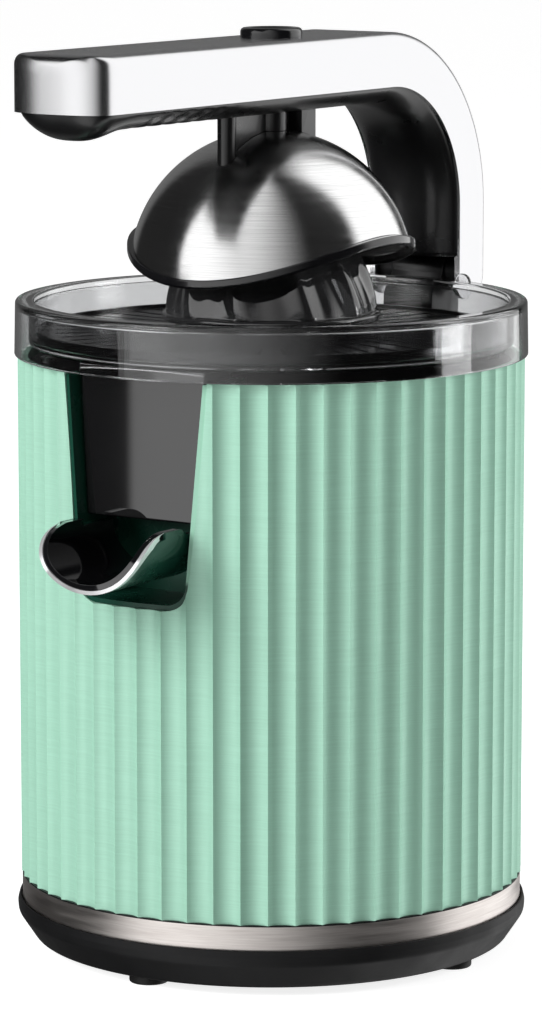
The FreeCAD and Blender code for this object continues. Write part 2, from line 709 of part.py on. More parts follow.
def make_bowl():
    inner = bowl_inner_radius
    wall = bowl_wall
    dish = turned("bowl_dish", [
        (bowl_radius, bowl_bottom), (bowl_radius - 0.4, bowl_rim - 1), (bowl_radius - 1.2, bowl_rim),
        (inner + 1.0, bowl_rim), (inner, bowl_rim - 1), (inner, bowl_floor + wall),
        (15.5, bowl_floor + wall), (15.5, 236.0), (13.3, 236.0), (13.3, bowl_floor),
        (inner + wall, bowl_floor), (inner + wall, bowl_rim - 2.3), (bowl_radius - wall, bowl_rim - 2.3),
        (bowl_radius - wall, bowl_bottom)])
    lugs = []
    for side in (-1, 1):
        lug = cylinder("bowl_lug", 3.3, 1.8, 30.0 * side, 80.6, bowl_rim - 0.1, ALONG_Y)
        lugs.append(common("lug_half", lug, block("lug_keep", 12.0, 12.0, 8.0, 30.0 * side, 81.0,
                                                  bowl_rim - 0.8)))
    blank = fuse("bowl_blank", dish, chute_block("chute_outer", 0.0, chute_bottom, bowl_floor + 1), *lugs)
    keep(cut("juice_bowl", blank, chute_block("chute_inner", 1.8, chute_bottom - 4, bowl_floor + 6)),
         "juice_bowl")


def make_strainer():
    low = strainer_bottom
    body = turned("strainer", [
        (16.2, low), (83.4, low), (83.4, low + 3), (81.6, low + 3), (81.6, low + 2), (18.4, low + 2),
        (18.4, low + 8), (16.2, low + 8)])
    slot = new_sketch(body, "XY_Plane", low)
    draw_outline(slot, [(42.0, -1.0), (77.0, -1.0), (77.0, 1.0), (42.0, 1.0)])
    polar(body, pocket(body, slot, 10.0), slot, "N_Axis", 48)
    keep(body, "strainer")


def make_reamer():
    low = reamer_bottom
    bore = shaft_radius + running_fit
    body = turned("reamer", [
        (0, low + 36.5), (bore, low + 36.5), (bore, low + 1), (9.0, low + 1), (9.0, low + 39),
        (12.0, low + 40), (17.0, low + 33), (23.5, low + 22.5), (29.0, low + 12), (33.0, low + 2),
        (34.0, low), (reamer_radius, low), (reamer_radius, low + 3), (35.0, low + 4.5),
        (31.0, low + 12), (25.5, low + 23), (19.0, low + 34), (12.0, low + 44), (5.0, low + 51),
        (0, low + 53)])
    fin = new_sketch(body, "XZ_Plane")
    draw_outline(fin, [
        (12.5, low + 41), (33.5, low + 3), (38.6, low + 3), (37.2, low + 10), (33.0, low + 18),
        (27.0, low + 28.5), (20.5, low + 38.5), (12.8, low + 48), (4.0, low + 54.5), (1.0, low + 55),
        (1.0, low + 48)])
    polar(body, pad(body, fin, 2.2, symmetric=True), fin, "V_Axis", 10)
    keep(body, "reamer")


# ---------------------------------------------------------------- spout

def scoop_block(name, inset, back):
    """The half-round scoop as a solid, inset from its outer skin, from y=-back forwards."""
    half = number(spout_half_width) - inset
    depth = number(spout_depth) - inset
    centre = number(spout_centre)
    top = number(spout_top) + (1 if inset > 0.3 else 0)
    body = new_body(name)
    sketch = new_sketch(body, "XZ_Plane", back)
    curve = Part.Ellipse(FreeCAD.Vector(0, centre, 0), half, depth)
    left = FreeCAD.Vector(-half, centre, 0)
    right = FreeCAD.Vector(half, centre, 0)
    left_top = FreeCAD.Vector(-half, top, 0)
    right_top = FreeCAD.Vector(half, top, 0)
    sketch.addGeometry([Part.ArcOfEllipse(curve, math.pi, 2 * math.pi),
                        Part.LineSegment(right, right_top), Part.LineSegment(right_top, left_top),
                        Part.LineSegment(left_top, left)], False)
    pad(body, sketch, 60.0)
    return body


def scoop_front(name, radius):
    """What lies behind the scoop's rounded front: a slab with a cylinder across its face."""
    slab = block(name + "_slab", 60.0, 60.0, 60.0, 0.0, lip_y + 30, 120.0)
    nose = cylinder(name + "_nose", radius, 60.0, -30.0, lip_y, lip_z, ALONG_X)
    return fuse(name, slab, nose)


def make_spout():
    notch = block("scoop_notch", 60.0, 30.0, 20.0, 0.0, -69.5, 157.5)
    flat = block("scoop_flat", 60.0, 80.0, 20.0, 0.0, -90.0, spout_top)
    axle = cylinder("scoop_axle", 1.57, 60.0, -30.0, spout_pin_y, spout_pin_z, ALONG_X)
    tray_layer = cut("tray_layer", scoop_block("tray_outer", 1.3, spout_back),
                     scoop_block("tray_inner", 2.9, spout_back + 1.6), notch, flat, axle)
    keep(common("spout_tray", tray_layer, scoop_front("tray_front", lip_radius)), "spout_tray")
    cover_layer = cut("cover_layer", scoop_block("cover_outer", 0.0, spout_back),
                      scoop_block("cover_inner", 1.25, spout_back - 5), notch, flat, axle)
    keep(common("spout_cover", cover_layer, scoop_front("cover_front", lip_radius - 1.6)), "spout_cover")
    rim = cut("trim_layer", scoop_block("trim_outer", -0.25, spout_back),
              scoop_block("trim_inner", 1.25, spout_back - 5), flat,
              scoop_front("trim_back", lip_radius - 1.5),
              block("trim_notch", 60.0, 40.0, 60.0, 0.0, lip_y + 20, 120.0))
    keep(common("spout_trim", rim, scoop_front("trim_front", lip_radius + 0.3)), "spout_trim")
    pins = [cylinder(f"spout_pin_{index}", 1.5, 6.6, x, spout_pin_y, spout_pin_z, ALONG_X)
            for index, x in enumerate((-24.0, 17.4))]
    keep(group("spout_pins", pins), "spout_pins")


# ---------------------------------------------------------------- hinge and arm

def make_tower():
    body = new_body("tower_block")
    sketch = new_sketch(body, "YZ_Plane")
    draw_outline(sketch, [
        (87.05, 152.0), (94.0, 150.0), (112.0, 172.0), (hinge_y + barrel_radius, 222.0),
        (hinge_y + barrel_radius, hinge_z), (hinge_y - barrel_radius, hinge_z), (93.2, 226.0),
        (93.2, 212.0), (87.05, 212.0)])
    pad(body, sketch, tower_half_width * 2, symmetric=True)
    barrel = cylinder("tower_barrel", barrel_radius, tower_half_width * 2, -tower_half_width, hinge_y,
                      hinge_z, ALONG_X)
    holes = [cylinder("tower_bore", hinge_pin_radius + running_fit, 40.0, -20.0, hinge_y, hinge_z,
                      ALONG_X)]
    screws = []
    for index, (x, z) in enumerate(tower_screw_places):
        holes.append(cylinder(f"tower_pilot_{index}", 2.05, 14.0, x, 86.0, z, ALONG_Y))
        screws.append(screw(f"tower_screw_{index}", 2.0, 3.6, 2.6, 18.0, x, 80.5, z, ALONG_Y))
    keep(cut("hinge_tower", fuse("tower_blank", body, barrel), *holes), "hinge_tower")
    keep(group("tower_screws", screws), "tower_screws")


def arm_outline(sketch, outer_grow, inner_grow, tip, low):
    """The arm's side outline: a level beam, a quarter bend and a column down to z=low."""
    y, z = number(bend_y), number(bend_z)
    outer = number(column_back) - y + outer_grow
    inner = number(arm_under) - z - inner_grow
    start = -number(tip)
    under, top = z + inner, z + outer
    corner = math.sqrt(0.5)
    vector = FreeCAD.Vector
    sketch.addGeometry([
        Part.LineSegment(vector(start, under, 0), vector(start, top, 0)),
        Part.LineSegment(vector(start, top, 0), vector(y, top, 0)),
        Part.Arc(vector(y, top, 0), vector(y + outer * corner, z + outer * corner, 0),
                 vector(y + outer, z, 0)),
        Part.LineSegment(vector(y + outer, z, 0), vector(y + outer, low, 0)),
        Part.LineSegment(vector(y + outer, low, 0), vector(y + inner, low, 0)),
        Part.LineSegment(vector(y + inner, low, 0), vector(y + inner, z, 0)),
        Part.Arc(vector(y + inner, z, 0), vector(y + inner * corner, z + inner * corner, 0),
                 vector(y, under, 0)),
        Part.LineSegment(vector(y, under, 0), vector(start, under, 0))], False)


def make_arm():
    body = new_body("arm_beam")
    sketch = new_sketch(body, "YZ_Plane")
    arm_outline(sketch, 0.0, 0.0, arm_tip, number(hinge_z))
    solid = pad(body, sketch, arm_half_width * 2, symmetric=True)

    def tip_corner(edge):
        return edge.BoundBox.ZLength > 10 and edge.BoundBox.YMax < -number(arm_tip) + 0.1

    def outer_edge(edge):
        middle = edge.valueAt((edge.FirstParameter + edge.LastParameter) / 2)
        off_axis = math.hypot(middle.y - number(bend_y), middle.z - number(bend_z))
        on_bend = abs(off_axis - number(column_back - bend_y)) < 0.1 and middle.z > number(bend_z)
        on_top = abs(middle.z - number(arm_top)) < 0.2
        on_back = abs(middle.y - number(column_back)) < 0.1 and edge.BoundBox.ZLength > 5
        return (on_bend or on_top or on_back) and edge.BoundBox.XLength < 30

    nose = round_edges(body, solid, 9.0, tip_corner)
    round_edges(body, nose, 3.6, outer_edge)
    foot = cylinder("arm_foot", 9.85, arm_half_width * 2, -arm_half_width, hinge_y, hinge_z, ALONG_X)

    # the hollow breaks through the underside, so the arm is a channel open below
    channel = (arm_half_width - arm_wall) * 2
    cavity = new_body("arm_cavity")
    hollow = new_sketch(cavity, "YZ_Plane")
    arm_outline(hollow, -arm_wall.value, 4.0, arm_tip - arm_wall, 200.0)
    core = pad(cavity, hollow, channel, symmetric=True)

    def cavity_corner(edge):
        return edge.BoundBox.ZLength > 10 and edge.BoundBox.YMax < -number(arm_tip - arm_wall) + 0.1

    round_edges(cavity, core, 7.0, cavity_corner)
    foot_slot = block("arm_foot_slot", channel, 40.0, 43.0, 0.0, hinge_y, hinge_z - 30)
    pin_hole = cylinder("arm_pin_hole", hinge_pin_radius + 0.02, 60.0, -30.0, hinge_y, hinge_z, ALONG_X)
    knob_hole = cylinder("knob_hole", knob_radius + 0.3, 20.0, 0.0, 0.0, arm_top - 10)
    blank = cut("arm_channel", fuse("arm_blank", body, foot), cavity, foot_slot, pin_hole, knob_hole)
    bosses = []
    screws = []
    liner_holes = []
    for index, y in enumerate((-104.0, -50.0, 38.0)):
        boss = cylinder(f"arm_boss_{index}", 4.0, arm_top - arm_under - 5, 0.0, y, arm_under + 4)
        pilot = cylinder(f"arm_pilot_{index}", 1.55, 10.0, 0.0, y, arm_under + 3)
        bosses.append(cut(f"arm_boss_bored_{index}", boss, pilot))
        liner_holes.append(cylinder(f"liner_hole_{index}", 1.7, 20.0, 0.0, y, arm_under - 9))
        liner_holes.append(cylinder(f"liner_head_hole_{index}", 3.4, 5.6, 0.0, y, arm_under - 8))
        screws.append(screw(f"arm_screw_{index}", 1.5, 3.0, 2.0, 14.0, 0.0, y, arm_under - 4.4))
    keep(fuse("arm_shell", blank, *bosses), "arm_shell")
    keep(group("arm_screws", screws), "arm_screws")
    keep(cylinder("hinge_pin", hinge_pin_radius, 38.0, -19.0, hinge_y, hinge_z, ALONG_X), "hinge_pin")
    spacers = []
    for index, x in enumerate((-17.3, 11.3)):
        spacers.append(cut(f"spacer_{index}",
                           cylinder(f"spacer_outer_{index}", 7.0, 6.0, x, hinge_y, hinge_z, ALONG_X),
                           cylinder(f"spacer_bore_{index}", hinge_pin_radius + 0.02, 9.0, x - 1, hinge_y,
                                    hinge_z, ALONG_X)))
    keep(group("hinge_spacers", spacers), "hinge_spacers")
    return liner_holes


def liner_section(sketch, level):
    """The liner's crowned cross-section, with its flat back 2 mm inside the arm."""
    half = number(arm_half_width - arm_wall) - 0.15
    edge = level + 0.2
    low = level - number(liner_depth)
    high = level + 2.0
    vector = FreeCAD.Vector
    sketch.addGeometry([
        Part.Arc(vector(-half, edge, 0), vector(0, low, 0), vector(half, edge, 0)),
        Part.LineSegment(vector(half, edge, 0), vector(half, high, 0)),
        Part.LineSegment(vector(half, high, 0), vector(-half, high, 0)),
        Part.LineSegment(vector(-half, high, 0), vector(-half, edge, 0))], False)


def make_liner(holes):
    body = new_body("liner_body")
    beam = new_sketch(body, "XZ_Plane", -bend_y)
    liner_section(beam, number(arm_under))
    pad(body, beam, arm_tip + bend_y - 3.5)
    turn_line = new_sketch(body, "XZ_Plane", -bend_y)
    liner_section(turn_line, number(arm_under))
    turn_line.addGeometry(Part.LineSegment(FreeCAD.Vector(-40, number(bend_z), 0),
                                           FreeCAD.Vector(40, number(bend_z), 0)), True)
    bend = body.newObject("PartDesign::Revolution", "liner_bend")
    bend.Profile = turn_line
    bend.ReferenceAxis = (turn_line, ["Axis0"])
    bend.Angle = 90
    bend.Reversed = True
    body.Tip = bend
    column = new_sketch(body, "XY_Plane", 241.0)
    liner_section(column, number(bend_y + arm_under - bend_z))
    pad(body, column, bend_z - 241.0)

    # its plan has round corners at the tip
    plan = new_body("liner_plan")
    outline = new_sketch(plan, "XY_Plane", 200.0)
    half = arm_half_width - arm_wall - 0.15
    front = -(arm_tip - 3.5)
    draw_outline(outline, [(-half, front), (half, front), (half, 130.0), (-half, 130.0)])
    slab = pad(plan, outline, 120.0)

    def front_corner(edge):
        return edge.BoundBox.ZLength > 10 and edge.BoundBox.YMax < number(front) + 0.1

    round_edges(plan, slab, 6.5, front_corner)
    grip_radius = 9.0
    grips = [cylinder(f"grip_groove_{index}", grip_radius, 60.0, -30.0, -94.0 + 9.2 * index,
                      arm_under - liner_depth - grip_radius + 0.8, ALONG_X) for index in range(6)]
    slot = block("liner_slot", 16.0, 54.0, 20.0, 0.0, -6.0, arm_under - 9)
    keep(cut("arm_liner", common("liner_trimmed", body, plan), slot, *holes, *grips), "arm_liner")


# ---------------------------------------------------------------- dome

def saddle(name, low):
    """A cylinder along Y whose underside dips to z=low over the middle."""
    return cylinder(name, saddle_radius, 160.0, 0.0, -80.0, low + saddle_radius, ALONG_Y)


def make_dome():
    skin = cut("dome_skin", ball("dome_outer", dome_radius, dome_z),
               ball("dome_inner", dome_radius - dome_wall, dome_z),
               cylinder("dome_screw_hole", 2.6, 20.0, 0.0, 0.0, 285.0))
    keep(common("press_dome", skin, saddle("dome_saddle", rim_low)), "press_dome")
    lip = cut("gasket_skin", ball("gasket_outer", dome_radius + 0.8, dome_z),
              ball("gasket_inner", dome_radius - dome_wall - 1.2, dome_z),
              saddle("gasket_top", rim_low - 0.05))
    keep(common("dome_gasket", lip, saddle("gasket_bottom", rim_low - gasket_height)), "dome_gasket")

    flange = block("bracket_flange", 33.0, 58.0, 3.5, 0.0, -5.0, 309.0)
    post = cylinder("bracket_post", 3.3, 40.0, 0.0, -28.0, 270.0)
    rear = block("bracket_rear", 14.0, 9.0, 40.0, 0.0, 13.5, 270.0)
    boss = cylinder("bracket_boss", 5.5, 40.0, 0.0, 0.0, 270.0)
    web = block("bracket_web", 2.4, 36.0, 40.0, 0.0, -9.0, 270.0)
    rim = ball("bracket_trim", dome_radius + 0.04, dome_z)
    bore = cylinder("bracket_bore", 2.05, 32.0, 0.0, 0.0, 275.0)
    blank = fuse("bracket_blank", flange, post, rear, boss, web)
    keep(cut("dome_bracket", blank, rim, bore), "dome_bracket")
    keep(screw("dome_screw", 2.0, 4.6, 2.4, 16.0, 0.0, 0.0, 289.4), "dome_screw")

    cap = cylinder("knob_cap", knob_radius, knob_top - 320.5, 0.0, 0.0, 320.5)
    flange = cylinder("knob_flange", knob_radius + 2, 3.0, 0.0, 0.0, 320.5)
    keep(fuse("release_knob", cap, flange), "release_knob")
    keep(coil("knob_spring", 7.0, 0.6, 312.6, 320.3, 3), "knob_spring")


# ---------------------------------------------------------------- assembly

make_shell()
make_housing(make_base())
make_deck()
make_recess()
make_gearbox()
make_gears()
make_motor()
make_shaft()
make_switch()
make_bowl()
make_strainer()
make_reamer()
make_spout()
make_tower()
make_liner(make_arm())
make_dome()
doc.recompute()

failed = [item.Name for item in doc.Objects if {"Invalid", "Error"} & set(item.State)]
if failed:
    raise RuntimeError("features that failed: " + ", ".join(failed))
for item in nodes:
    if item.Shape.isNull() or not item.Shape.isValid():
        raise RuntimeError("no valid shape: " + item.Label)
for item in nodes:
    item.Shape.exportStep(f"parts/{item.Label}.step")
    solids = len(item.Shape.Solids)
    print(f"{item.Label}: {solids} solid(s), {item.Shape.Volume / 1000:.2f} cm3")
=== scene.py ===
import json
import math
import bmesh
import bpy
import numpy as np
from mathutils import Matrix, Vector


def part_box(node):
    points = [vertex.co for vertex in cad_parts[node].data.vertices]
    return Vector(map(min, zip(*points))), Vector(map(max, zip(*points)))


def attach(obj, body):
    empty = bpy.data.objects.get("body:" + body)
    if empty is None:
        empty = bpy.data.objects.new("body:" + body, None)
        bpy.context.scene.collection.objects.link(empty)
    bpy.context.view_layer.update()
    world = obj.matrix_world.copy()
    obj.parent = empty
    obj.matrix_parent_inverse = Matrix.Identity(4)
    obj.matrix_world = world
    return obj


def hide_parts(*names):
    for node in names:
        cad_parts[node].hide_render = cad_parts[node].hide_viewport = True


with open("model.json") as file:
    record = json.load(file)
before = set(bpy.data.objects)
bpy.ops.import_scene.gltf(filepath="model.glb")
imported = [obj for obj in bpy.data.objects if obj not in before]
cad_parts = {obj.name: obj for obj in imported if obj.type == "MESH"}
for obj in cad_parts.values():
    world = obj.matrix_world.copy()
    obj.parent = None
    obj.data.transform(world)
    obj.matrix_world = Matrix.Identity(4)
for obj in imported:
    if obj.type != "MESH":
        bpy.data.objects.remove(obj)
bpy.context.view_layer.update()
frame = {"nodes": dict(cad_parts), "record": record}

mm = 0.001
mergeGap = 2e-6  # points closer than this, in metres, become one
print("frame loaded:", len(frame["nodes"]), "nodes")


def boxOf(node):
    # the low and high corners of a design node's box, in millimetres
    return [np.array(corner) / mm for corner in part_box(node)]


def gridFaces(rows, columns, wrapRows=False, wrapColumns=False):
    # quads of a rows by columns grid of points; a wrapped direction joins its last line to its first
    r = np.arange(rows if wrapRows else rows - 1)
    c = np.arange(columns if wrapColumns else columns - 1)
    r, c = np.meshgrid(r, c, indexing="ij")
    r2, c2 = (r + 1) % rows, (c + 1) % columns
    quads = np.stack([r * columns + c, r * columns + c2, r2 * columns + c2, r2 * columns + c], axis=-1)
    return quads.reshape(-1, 4)


def cappedFaces(rows, columns):
    # a tube of rings of points, with one flat face over each end
    size = rows * columns
    ends = [list(range(columns)), list(range(size - 1, size - columns - 1, -1))]
    return gridFaces(rows, columns, False, True).tolist() + ends


def fannedFaces(rows, columns):
    # a tube of rings of points, each end closed by triangles to one of two points that follow the rings
    size = rows * columns
    ring = np.arange(columns)
    faces = gridFaces(rows, columns, False, True).tolist()
    for end, first in enumerate((0, size - columns)):
        fan = np.stack([ring + first, np.roll(ring, -1) + first, np.full(columns, size + end)], axis=-1)
        faces += fan.tolist()
    return faces


def finishPiece(piece, body, replaced=()):
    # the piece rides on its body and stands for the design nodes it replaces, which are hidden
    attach(piece, body)
    if replaced:
        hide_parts(*replaced)


def meshObject(name, points, faces, body, material, replaced=()):
    # points in millimetres; doubles at seams and poles are merged and the faces turned outwards
    if isinstance(faces, np.ndarray):
        faces = faces.tolist()
    mesh = bpy.data.meshes.new(name)
    mesh.from_pydata((np.asarray(points, float).reshape(-1, 3) * mm).tolist(), [], faces)
    piece = bpy.data.objects.new(name, mesh)
    bpy.context.scene.collection.objects.link(piece)
    work = bmesh.new()
    work.from_mesh(mesh)
    bmesh.ops.remove_doubles(work, verts=work.verts, dist=mergeGap)
    bmesh.ops.dissolve_degenerate(work, edges=work.edges, dist=mergeGap / 2)
    bmesh.ops.recalc_face_normals(work, faces=work.faces)
    work.to_mesh(mesh)
    work.free()
    mesh.shade_smooth()
    mesh.materials.append(material)
    finishPiece(piece, body, replaced)
    return piece


def bevel(piece, width, segments=3, angle=32):
    # rounds the edges where two faces meet at more than the angle
    edge = piece.modifiers.new("edges", "BEVEL")
    edge.width = width * mm
    edge.segments = segments
    edge.limit_method = "ANGLE"
    edge.angle_limit = math.radians(angle)
    edge.harden_normals = True
    return piece


def thicken(piece, wall, offset):
    # gives a surface a wall; offset -1 puts it behind the surface, 1 in front of it
    sheet = piece.modifiers.new("wall", "SOLIDIFY")
    sheet.thickness = wall * mm
    sheet.offset = offset
    sheet.use_even_offset = True
    return piece


def softCopy(node, body, material, width, angle=32):
    # the design node's own shape with its hard edges rounded by a small width
    mesh = frame["nodes"][node].data.copy()
    piece = bpy.data.objects.new(node + ".soft", mesh)
    bpy.context.scene.collection.objects.link(piece)
    work = bmesh.new()
    work.from_mesh(mesh)
    bmesh.ops.remove_doubles(work, verts=work.verts, dist=mergeGap)
    bmesh.ops.dissolve_limit(work, angle_limit=math.radians(1.0), verts=work.verts, edges=work.edges)
    work.to_mesh(mesh)
    work.free()
    mesh.shade_smooth()
    mesh.materials.clear()
    mesh.materials.append(material)
    bevel(piece, width, 3, angle)
    finishPiece(piece, body, (node,))
    return piece


def cornered(corners, radii, steps=6):
    # a closed outline of corners, each replaced by an arc tangent to its two sides,
    # with a support point close to each end of the arc so that the flats stay flat
    corners = np.asarray(corners, float)
    radii = np.broadcast_to(np.asarray(radii, float), len(corners))
    outline = []
    for here, before, after, radius in zip(corners, np.roll(corners, 1, 0), np.roll(corners, -1, 0), radii):
        if radius <= 0:
            outline.append(here[None])
            continue
        into = (before - here) / np.linalg.norm(before - here)
        out = (after - here) / np.linalg.norm(after - here)
        half = math.acos(np.clip(into @ out, -1, 1)) / 2
        reach = radius / math.tan(half)
        centre = here + (into + out) / np.linalg.norm(into + out) * radius / math.sin(half)
        start, end = here + into * reach - centre, here + out * reach - centre
        turn = math.pi - 2 * half
        t = np.linspace(0, 1, steps)[:, None]
        arc = centre + (np.sin((1 - t) * turn) * start + np.sin(t * turn) * end) / math.sin(turn)
        support = radius * 0.12
        outline += [arc[:1] + into * support, arc, arc[-1:] + out * support]
    return np.concatenate(outline)


def aroundAngles(count):
    # angles of a full turn, the last of them one step before the first
    return np.linspace(0, 2 * np.pi, count, endpoint=False)


def turnedPoints(outline, count):
    # an outline of (radius, height) carried round the Z axis
    angle = aroundAngles(count)
    radius, height = outline[:, 0, None], outline[:, 1, None]
    return np.stack([radius * np.cos(angle), radius * np.sin(angle), height + 0 * angle], axis=-1)


def turnedPiece(name, outline, body, material, replaced, count):
    # a closed outline of (radius, height) turned round the Z axis into a piece
    faces = gridFaces(len(outline), count, True, True)
    return meshObject(name, turnedPoints(outline, count), faces, body, material, replaced)


def sweptPoints(path, across, up, section):
    # each section point (a, b) is carried along the path as path + a * across + b * up
    return path[:, None] + section[None, :, :1] * across[:, None] + section[None, :, 1:] * up[:, None]


class NodeTree:
    # adds nodes to one node tree; wherever a node takes a value, it takes a number or an output
    def __init__(self, tree):
        self.tree = tree

    def add(self, kind, **settings):
        node = self.tree.nodes.new(kind)
        for key, value in settings.items():
            setattr(node, key, value)
        return node

    def put(self, value, socket):
        if isinstance(value, bpy.types.NodeSocket):
            self.tree.links.new(value, socket)
        else:
            socket.default_value = value

    def math(self, operation, first, second=0.0):
        node = self.add("ShaderNodeMath", operation=operation)
        self.put(first, node.inputs[0])
        self.put(second, node.inputs[1])
        return node.outputs["Value"]

    def span(self, factor, low, high, start=0.3, end=0.7, curve="LINEAR"):
        # a number that goes from low to high as the factor goes from start to end
        spread = self.add("ShaderNodeMapRange", interpolation_type=curve)
        for key, value in zip(("From Min", "From Max", "To Min", "To Max"), (start, end, low, high)):
            spread.inputs[key].default_value = value
        self.put(factor, spread.inputs["Value"])
        return spread.outputs["Result"]

    def choose(self, factor, low, high):
        # low where the factor is 0 and high where it is 1
        mix = self.add("ShaderNodeMix")
        for key, value in (("Factor", factor), ("A", low), ("B", high)):
            self.put(value, mix.inputs[key])
        return mix.outputs["Result"]


class Paint(NodeTree):
    # one material, with textures on Object coordinates
    def __init__(self, name):
        self.material = bpy.data.materials.new(name)
        self.material.use_nodes = True
        super().__init__(self.material.node_tree)
        self.shader = self.tree.nodes["Principled BSDF"]
        self.place = self.add("ShaderNodeTexCoord").outputs["Object"]

    def set(self, **values):
        # the shader's inputs by name, with _ for a space
        for key, value in values.items():
            self.put(value, self.shader.inputs[key.replace("_", " ")])

    def noise(self, scale, detail=4.0, roughness=0.55):
        # noise with its own scale on each axis; one number stands for all three
        mapping = self.add("ShaderNodeMapping")
        self.put(scale if isinstance(scale, tuple) else (scale,) * 3, mapping.inputs["Scale"])
        self.put(self.place, mapping.inputs["Vector"])
        noise = self.add("ShaderNodeTexNoise")
        for key, value in (("Scale", 1.0), ("Detail", detail), ("Roughness", roughness)):
            noise.inputs[key].default_value = value
        self.put(mapping.outputs["Vector"], noise.inputs["Vector"])
        return noise.outputs["Fac"]

    def blend(self, factor, low, high, start=0.3, end=0.7):
        # a ramp from low to high colour as the factor goes from start to end
        ramp = self.add("ShaderNodeValToRGB")
        for stop, position, colour in zip(ramp.color_ramp.elements, (start, end), (low, high)):
            stop.position = position
            stop.color = (*colour, 1)
        self.put(factor, ramp.inputs["Fac"])
        return ramp.outputs["Color"]

    def bump(self, height, strength, distance=0.0001):
        bump = self.add("ShaderNodeBump")
        for key, value in (("Strength", strength), ("Distance", distance), ("Height", height)):
            self.put(value, bump.inputs[key])
        self.set(Normal=bump.outputs["Normal"])


def greenPaint():
    # satin paint over fine horizontal brushing
    look = {"light": (0.435, 0.755, 0.595), "deep": (0.395, 0.70, 0.545), "gloss": (0.36, 0.48),
            "brushing": (60, 60, 2600)}
    m = Paint("green_paint")
    grain = m.noise(look["brushing"], 5, 0.6)
    m.set(Base_Color=m.blend(grain, look["deep"], look["light"], 0.35, 0.65))
    m.set(Roughness=m.span(m.noise(30, 3), *look["gloss"]))
    m.set(Metallic=0.12, Coat_Weight=0.15, Coat_Roughness=0.25)
    m.bump(grain, 0.10, 0.0002)
    return m.material


def shadedGreenMoulding():
    # dark glossy moulded plastic whose dark green is painted shade: the shell's green as it looks in the
    # shade of the recess and under the spout
    look = {"light": (0.010, 0.058, 0.038), "deep": (0.007, 0.044, 0.028), "gloss": (0.20, 0.30)}
    m = Paint("green_moulding")
    cloud = m.noise(90)
    m.set(Base_Color=m.blend(cloud, look["deep"], look["light"]))
    m.set(Roughness=m.span(cloud, *look["gloss"]))
    m.set(Coat_Weight=0.3, Coat_Roughness=0.1)
    m.bump(m.noise(900, 2), 0.04)
    return m.material


def recessMoulding():
    # the same moulding, whose dark green is painted shade, but the front edge of the recess on the right,
    # above its round corner, is in the shell's green as if the shell's sheet were folded over it; on the
    # left the edge keeps the dark painted shade.
    # Green's share is the product of three ramps, over the distance from the axis, over x and over z, in
    # metres
    look = {"dark": (0.009, 0.058, 0.037), "edge": (0.39, 0.70, 0.54), "gloss": (0.24, 0.34),
            "from": 0.0880, "to": 0.0882, "right": 0.001, "above": 0.143, "fade": 0.003}
    m = Paint("recess_moulding")
    flat = m.add("ShaderNodeVectorMath", operation="MULTIPLY")
    m.put(m.place, flat.inputs[0])
    m.put((1, 1, 0), flat.inputs[1])
    radius = m.add("ShaderNodeVectorMath", operation="LENGTH")
    m.put(flat.outputs["Vector"], radius.inputs[0])
    sides = m.add("ShaderNodeSeparateXYZ")
    m.put(m.place, sides.inputs[0])
    front = m.span(radius.outputs["Value"], 0.0, 1.0, look["from"], look["to"])
    right = m.span(sides.outputs["X"], 0.0, 1.0, 0.0, look["right"])
    high = m.span(sides.outputs["Z"], 0.0, 1.0, look["above"], look["above"] + look["fade"])
    edge = m.math("MULTIPLY", front, m.math("MULTIPLY", right, high))
    # the dark colour is painted shade; only the right front edge takes the shell's green
    m.set(Base_Color=m.blend(edge, look["dark"], look["edge"], 0.2, 0.8))
    m.set(Roughness=m.span(m.noise(90), *look["gloss"]), Specular_IOR_Level=0.28)
    m.bump(m.noise(900, 2), 0.04)
    return m.material


def plastic(name, colour, roughness, grain=700, depth=0.12, coat=0.0, sheen=0.5):
    # moulded plastic with a fine spark-eroded grain and uneven gloss
    m = Paint(name)
    cloud = m.noise(70)
    m.set(Base_Color=m.blend(cloud, tuple(0.85 * c for c in colour), colour))
    m.set(Roughness=m.span(cloud, roughness * 0.85, roughness * 1.15))
    m.set(Coat_Weight=coat, Coat_Roughness=0.04, Specular_IOR_Level=sheen)
    m.bump(m.noise(grain, 2), depth)
    return m.material


def brushedSteel(name, dark, light, roughness, lines=(40, 40, 5200), anisotropy=0.8):
    # metal brushed round the Z axis: noise that is long across and short in height
    m = Paint(name)
    grain = m.noise(lines, 6, 0.65)
    m.set(Base_Color=m.blend(grain, dark, light))
    m.set(Roughness=m.span(m.noise((25, 25, 420), 3), roughness * 0.8, roughness * 1.25))
    m.set(Metallic=1.0, Anisotropic=anisotropy, Anisotropic_Rotation=0.25)
    m.set(Tangent=m.add("ShaderNodeTangent", direction_type="RADIAL", axis="Z").outputs["Tangent"])
    m.bump(grain, 0.12)
    return m.material


def plainMetal(name, colour, roughness, grain=300, depth=0.05, metallic=1.0, cloudy=0.88):
    # metal with a fine grain in its colour and gloss; cloudy is the darkest part of the grain
    m = Paint(name)
    cloud = m.noise(grain)
    uneven = 1.7 * (1 - cloudy)
    m.set(Base_Color=m.blend(cloud, tuple(cloudy * c for c in colour), colour))
    m.set(Roughness=m.span(cloud, roughness * (1 - uneven), roughness * (1 + uneven)))
    m.set(Metallic=metallic)
    m.bump(cloud, depth, 0.00005)
    return m.material


def smokedClear(name, tint, roughness=0.03, weight=1.0, index=1.46):
    # clear plastic tinted grey, with faint handling marks in its gloss
    m = Paint(name)
    cloud = m.noise(45, 5)
    m.set(Base_Color=m.blend(cloud, tuple(0.96 * c for c in tint), tint))
    m.set(Roughness=m.span(cloud, roughness * 0.6, roughness * 1.6))
    m.set(Transmission_Weight=weight, IOR=index)
    return m.material


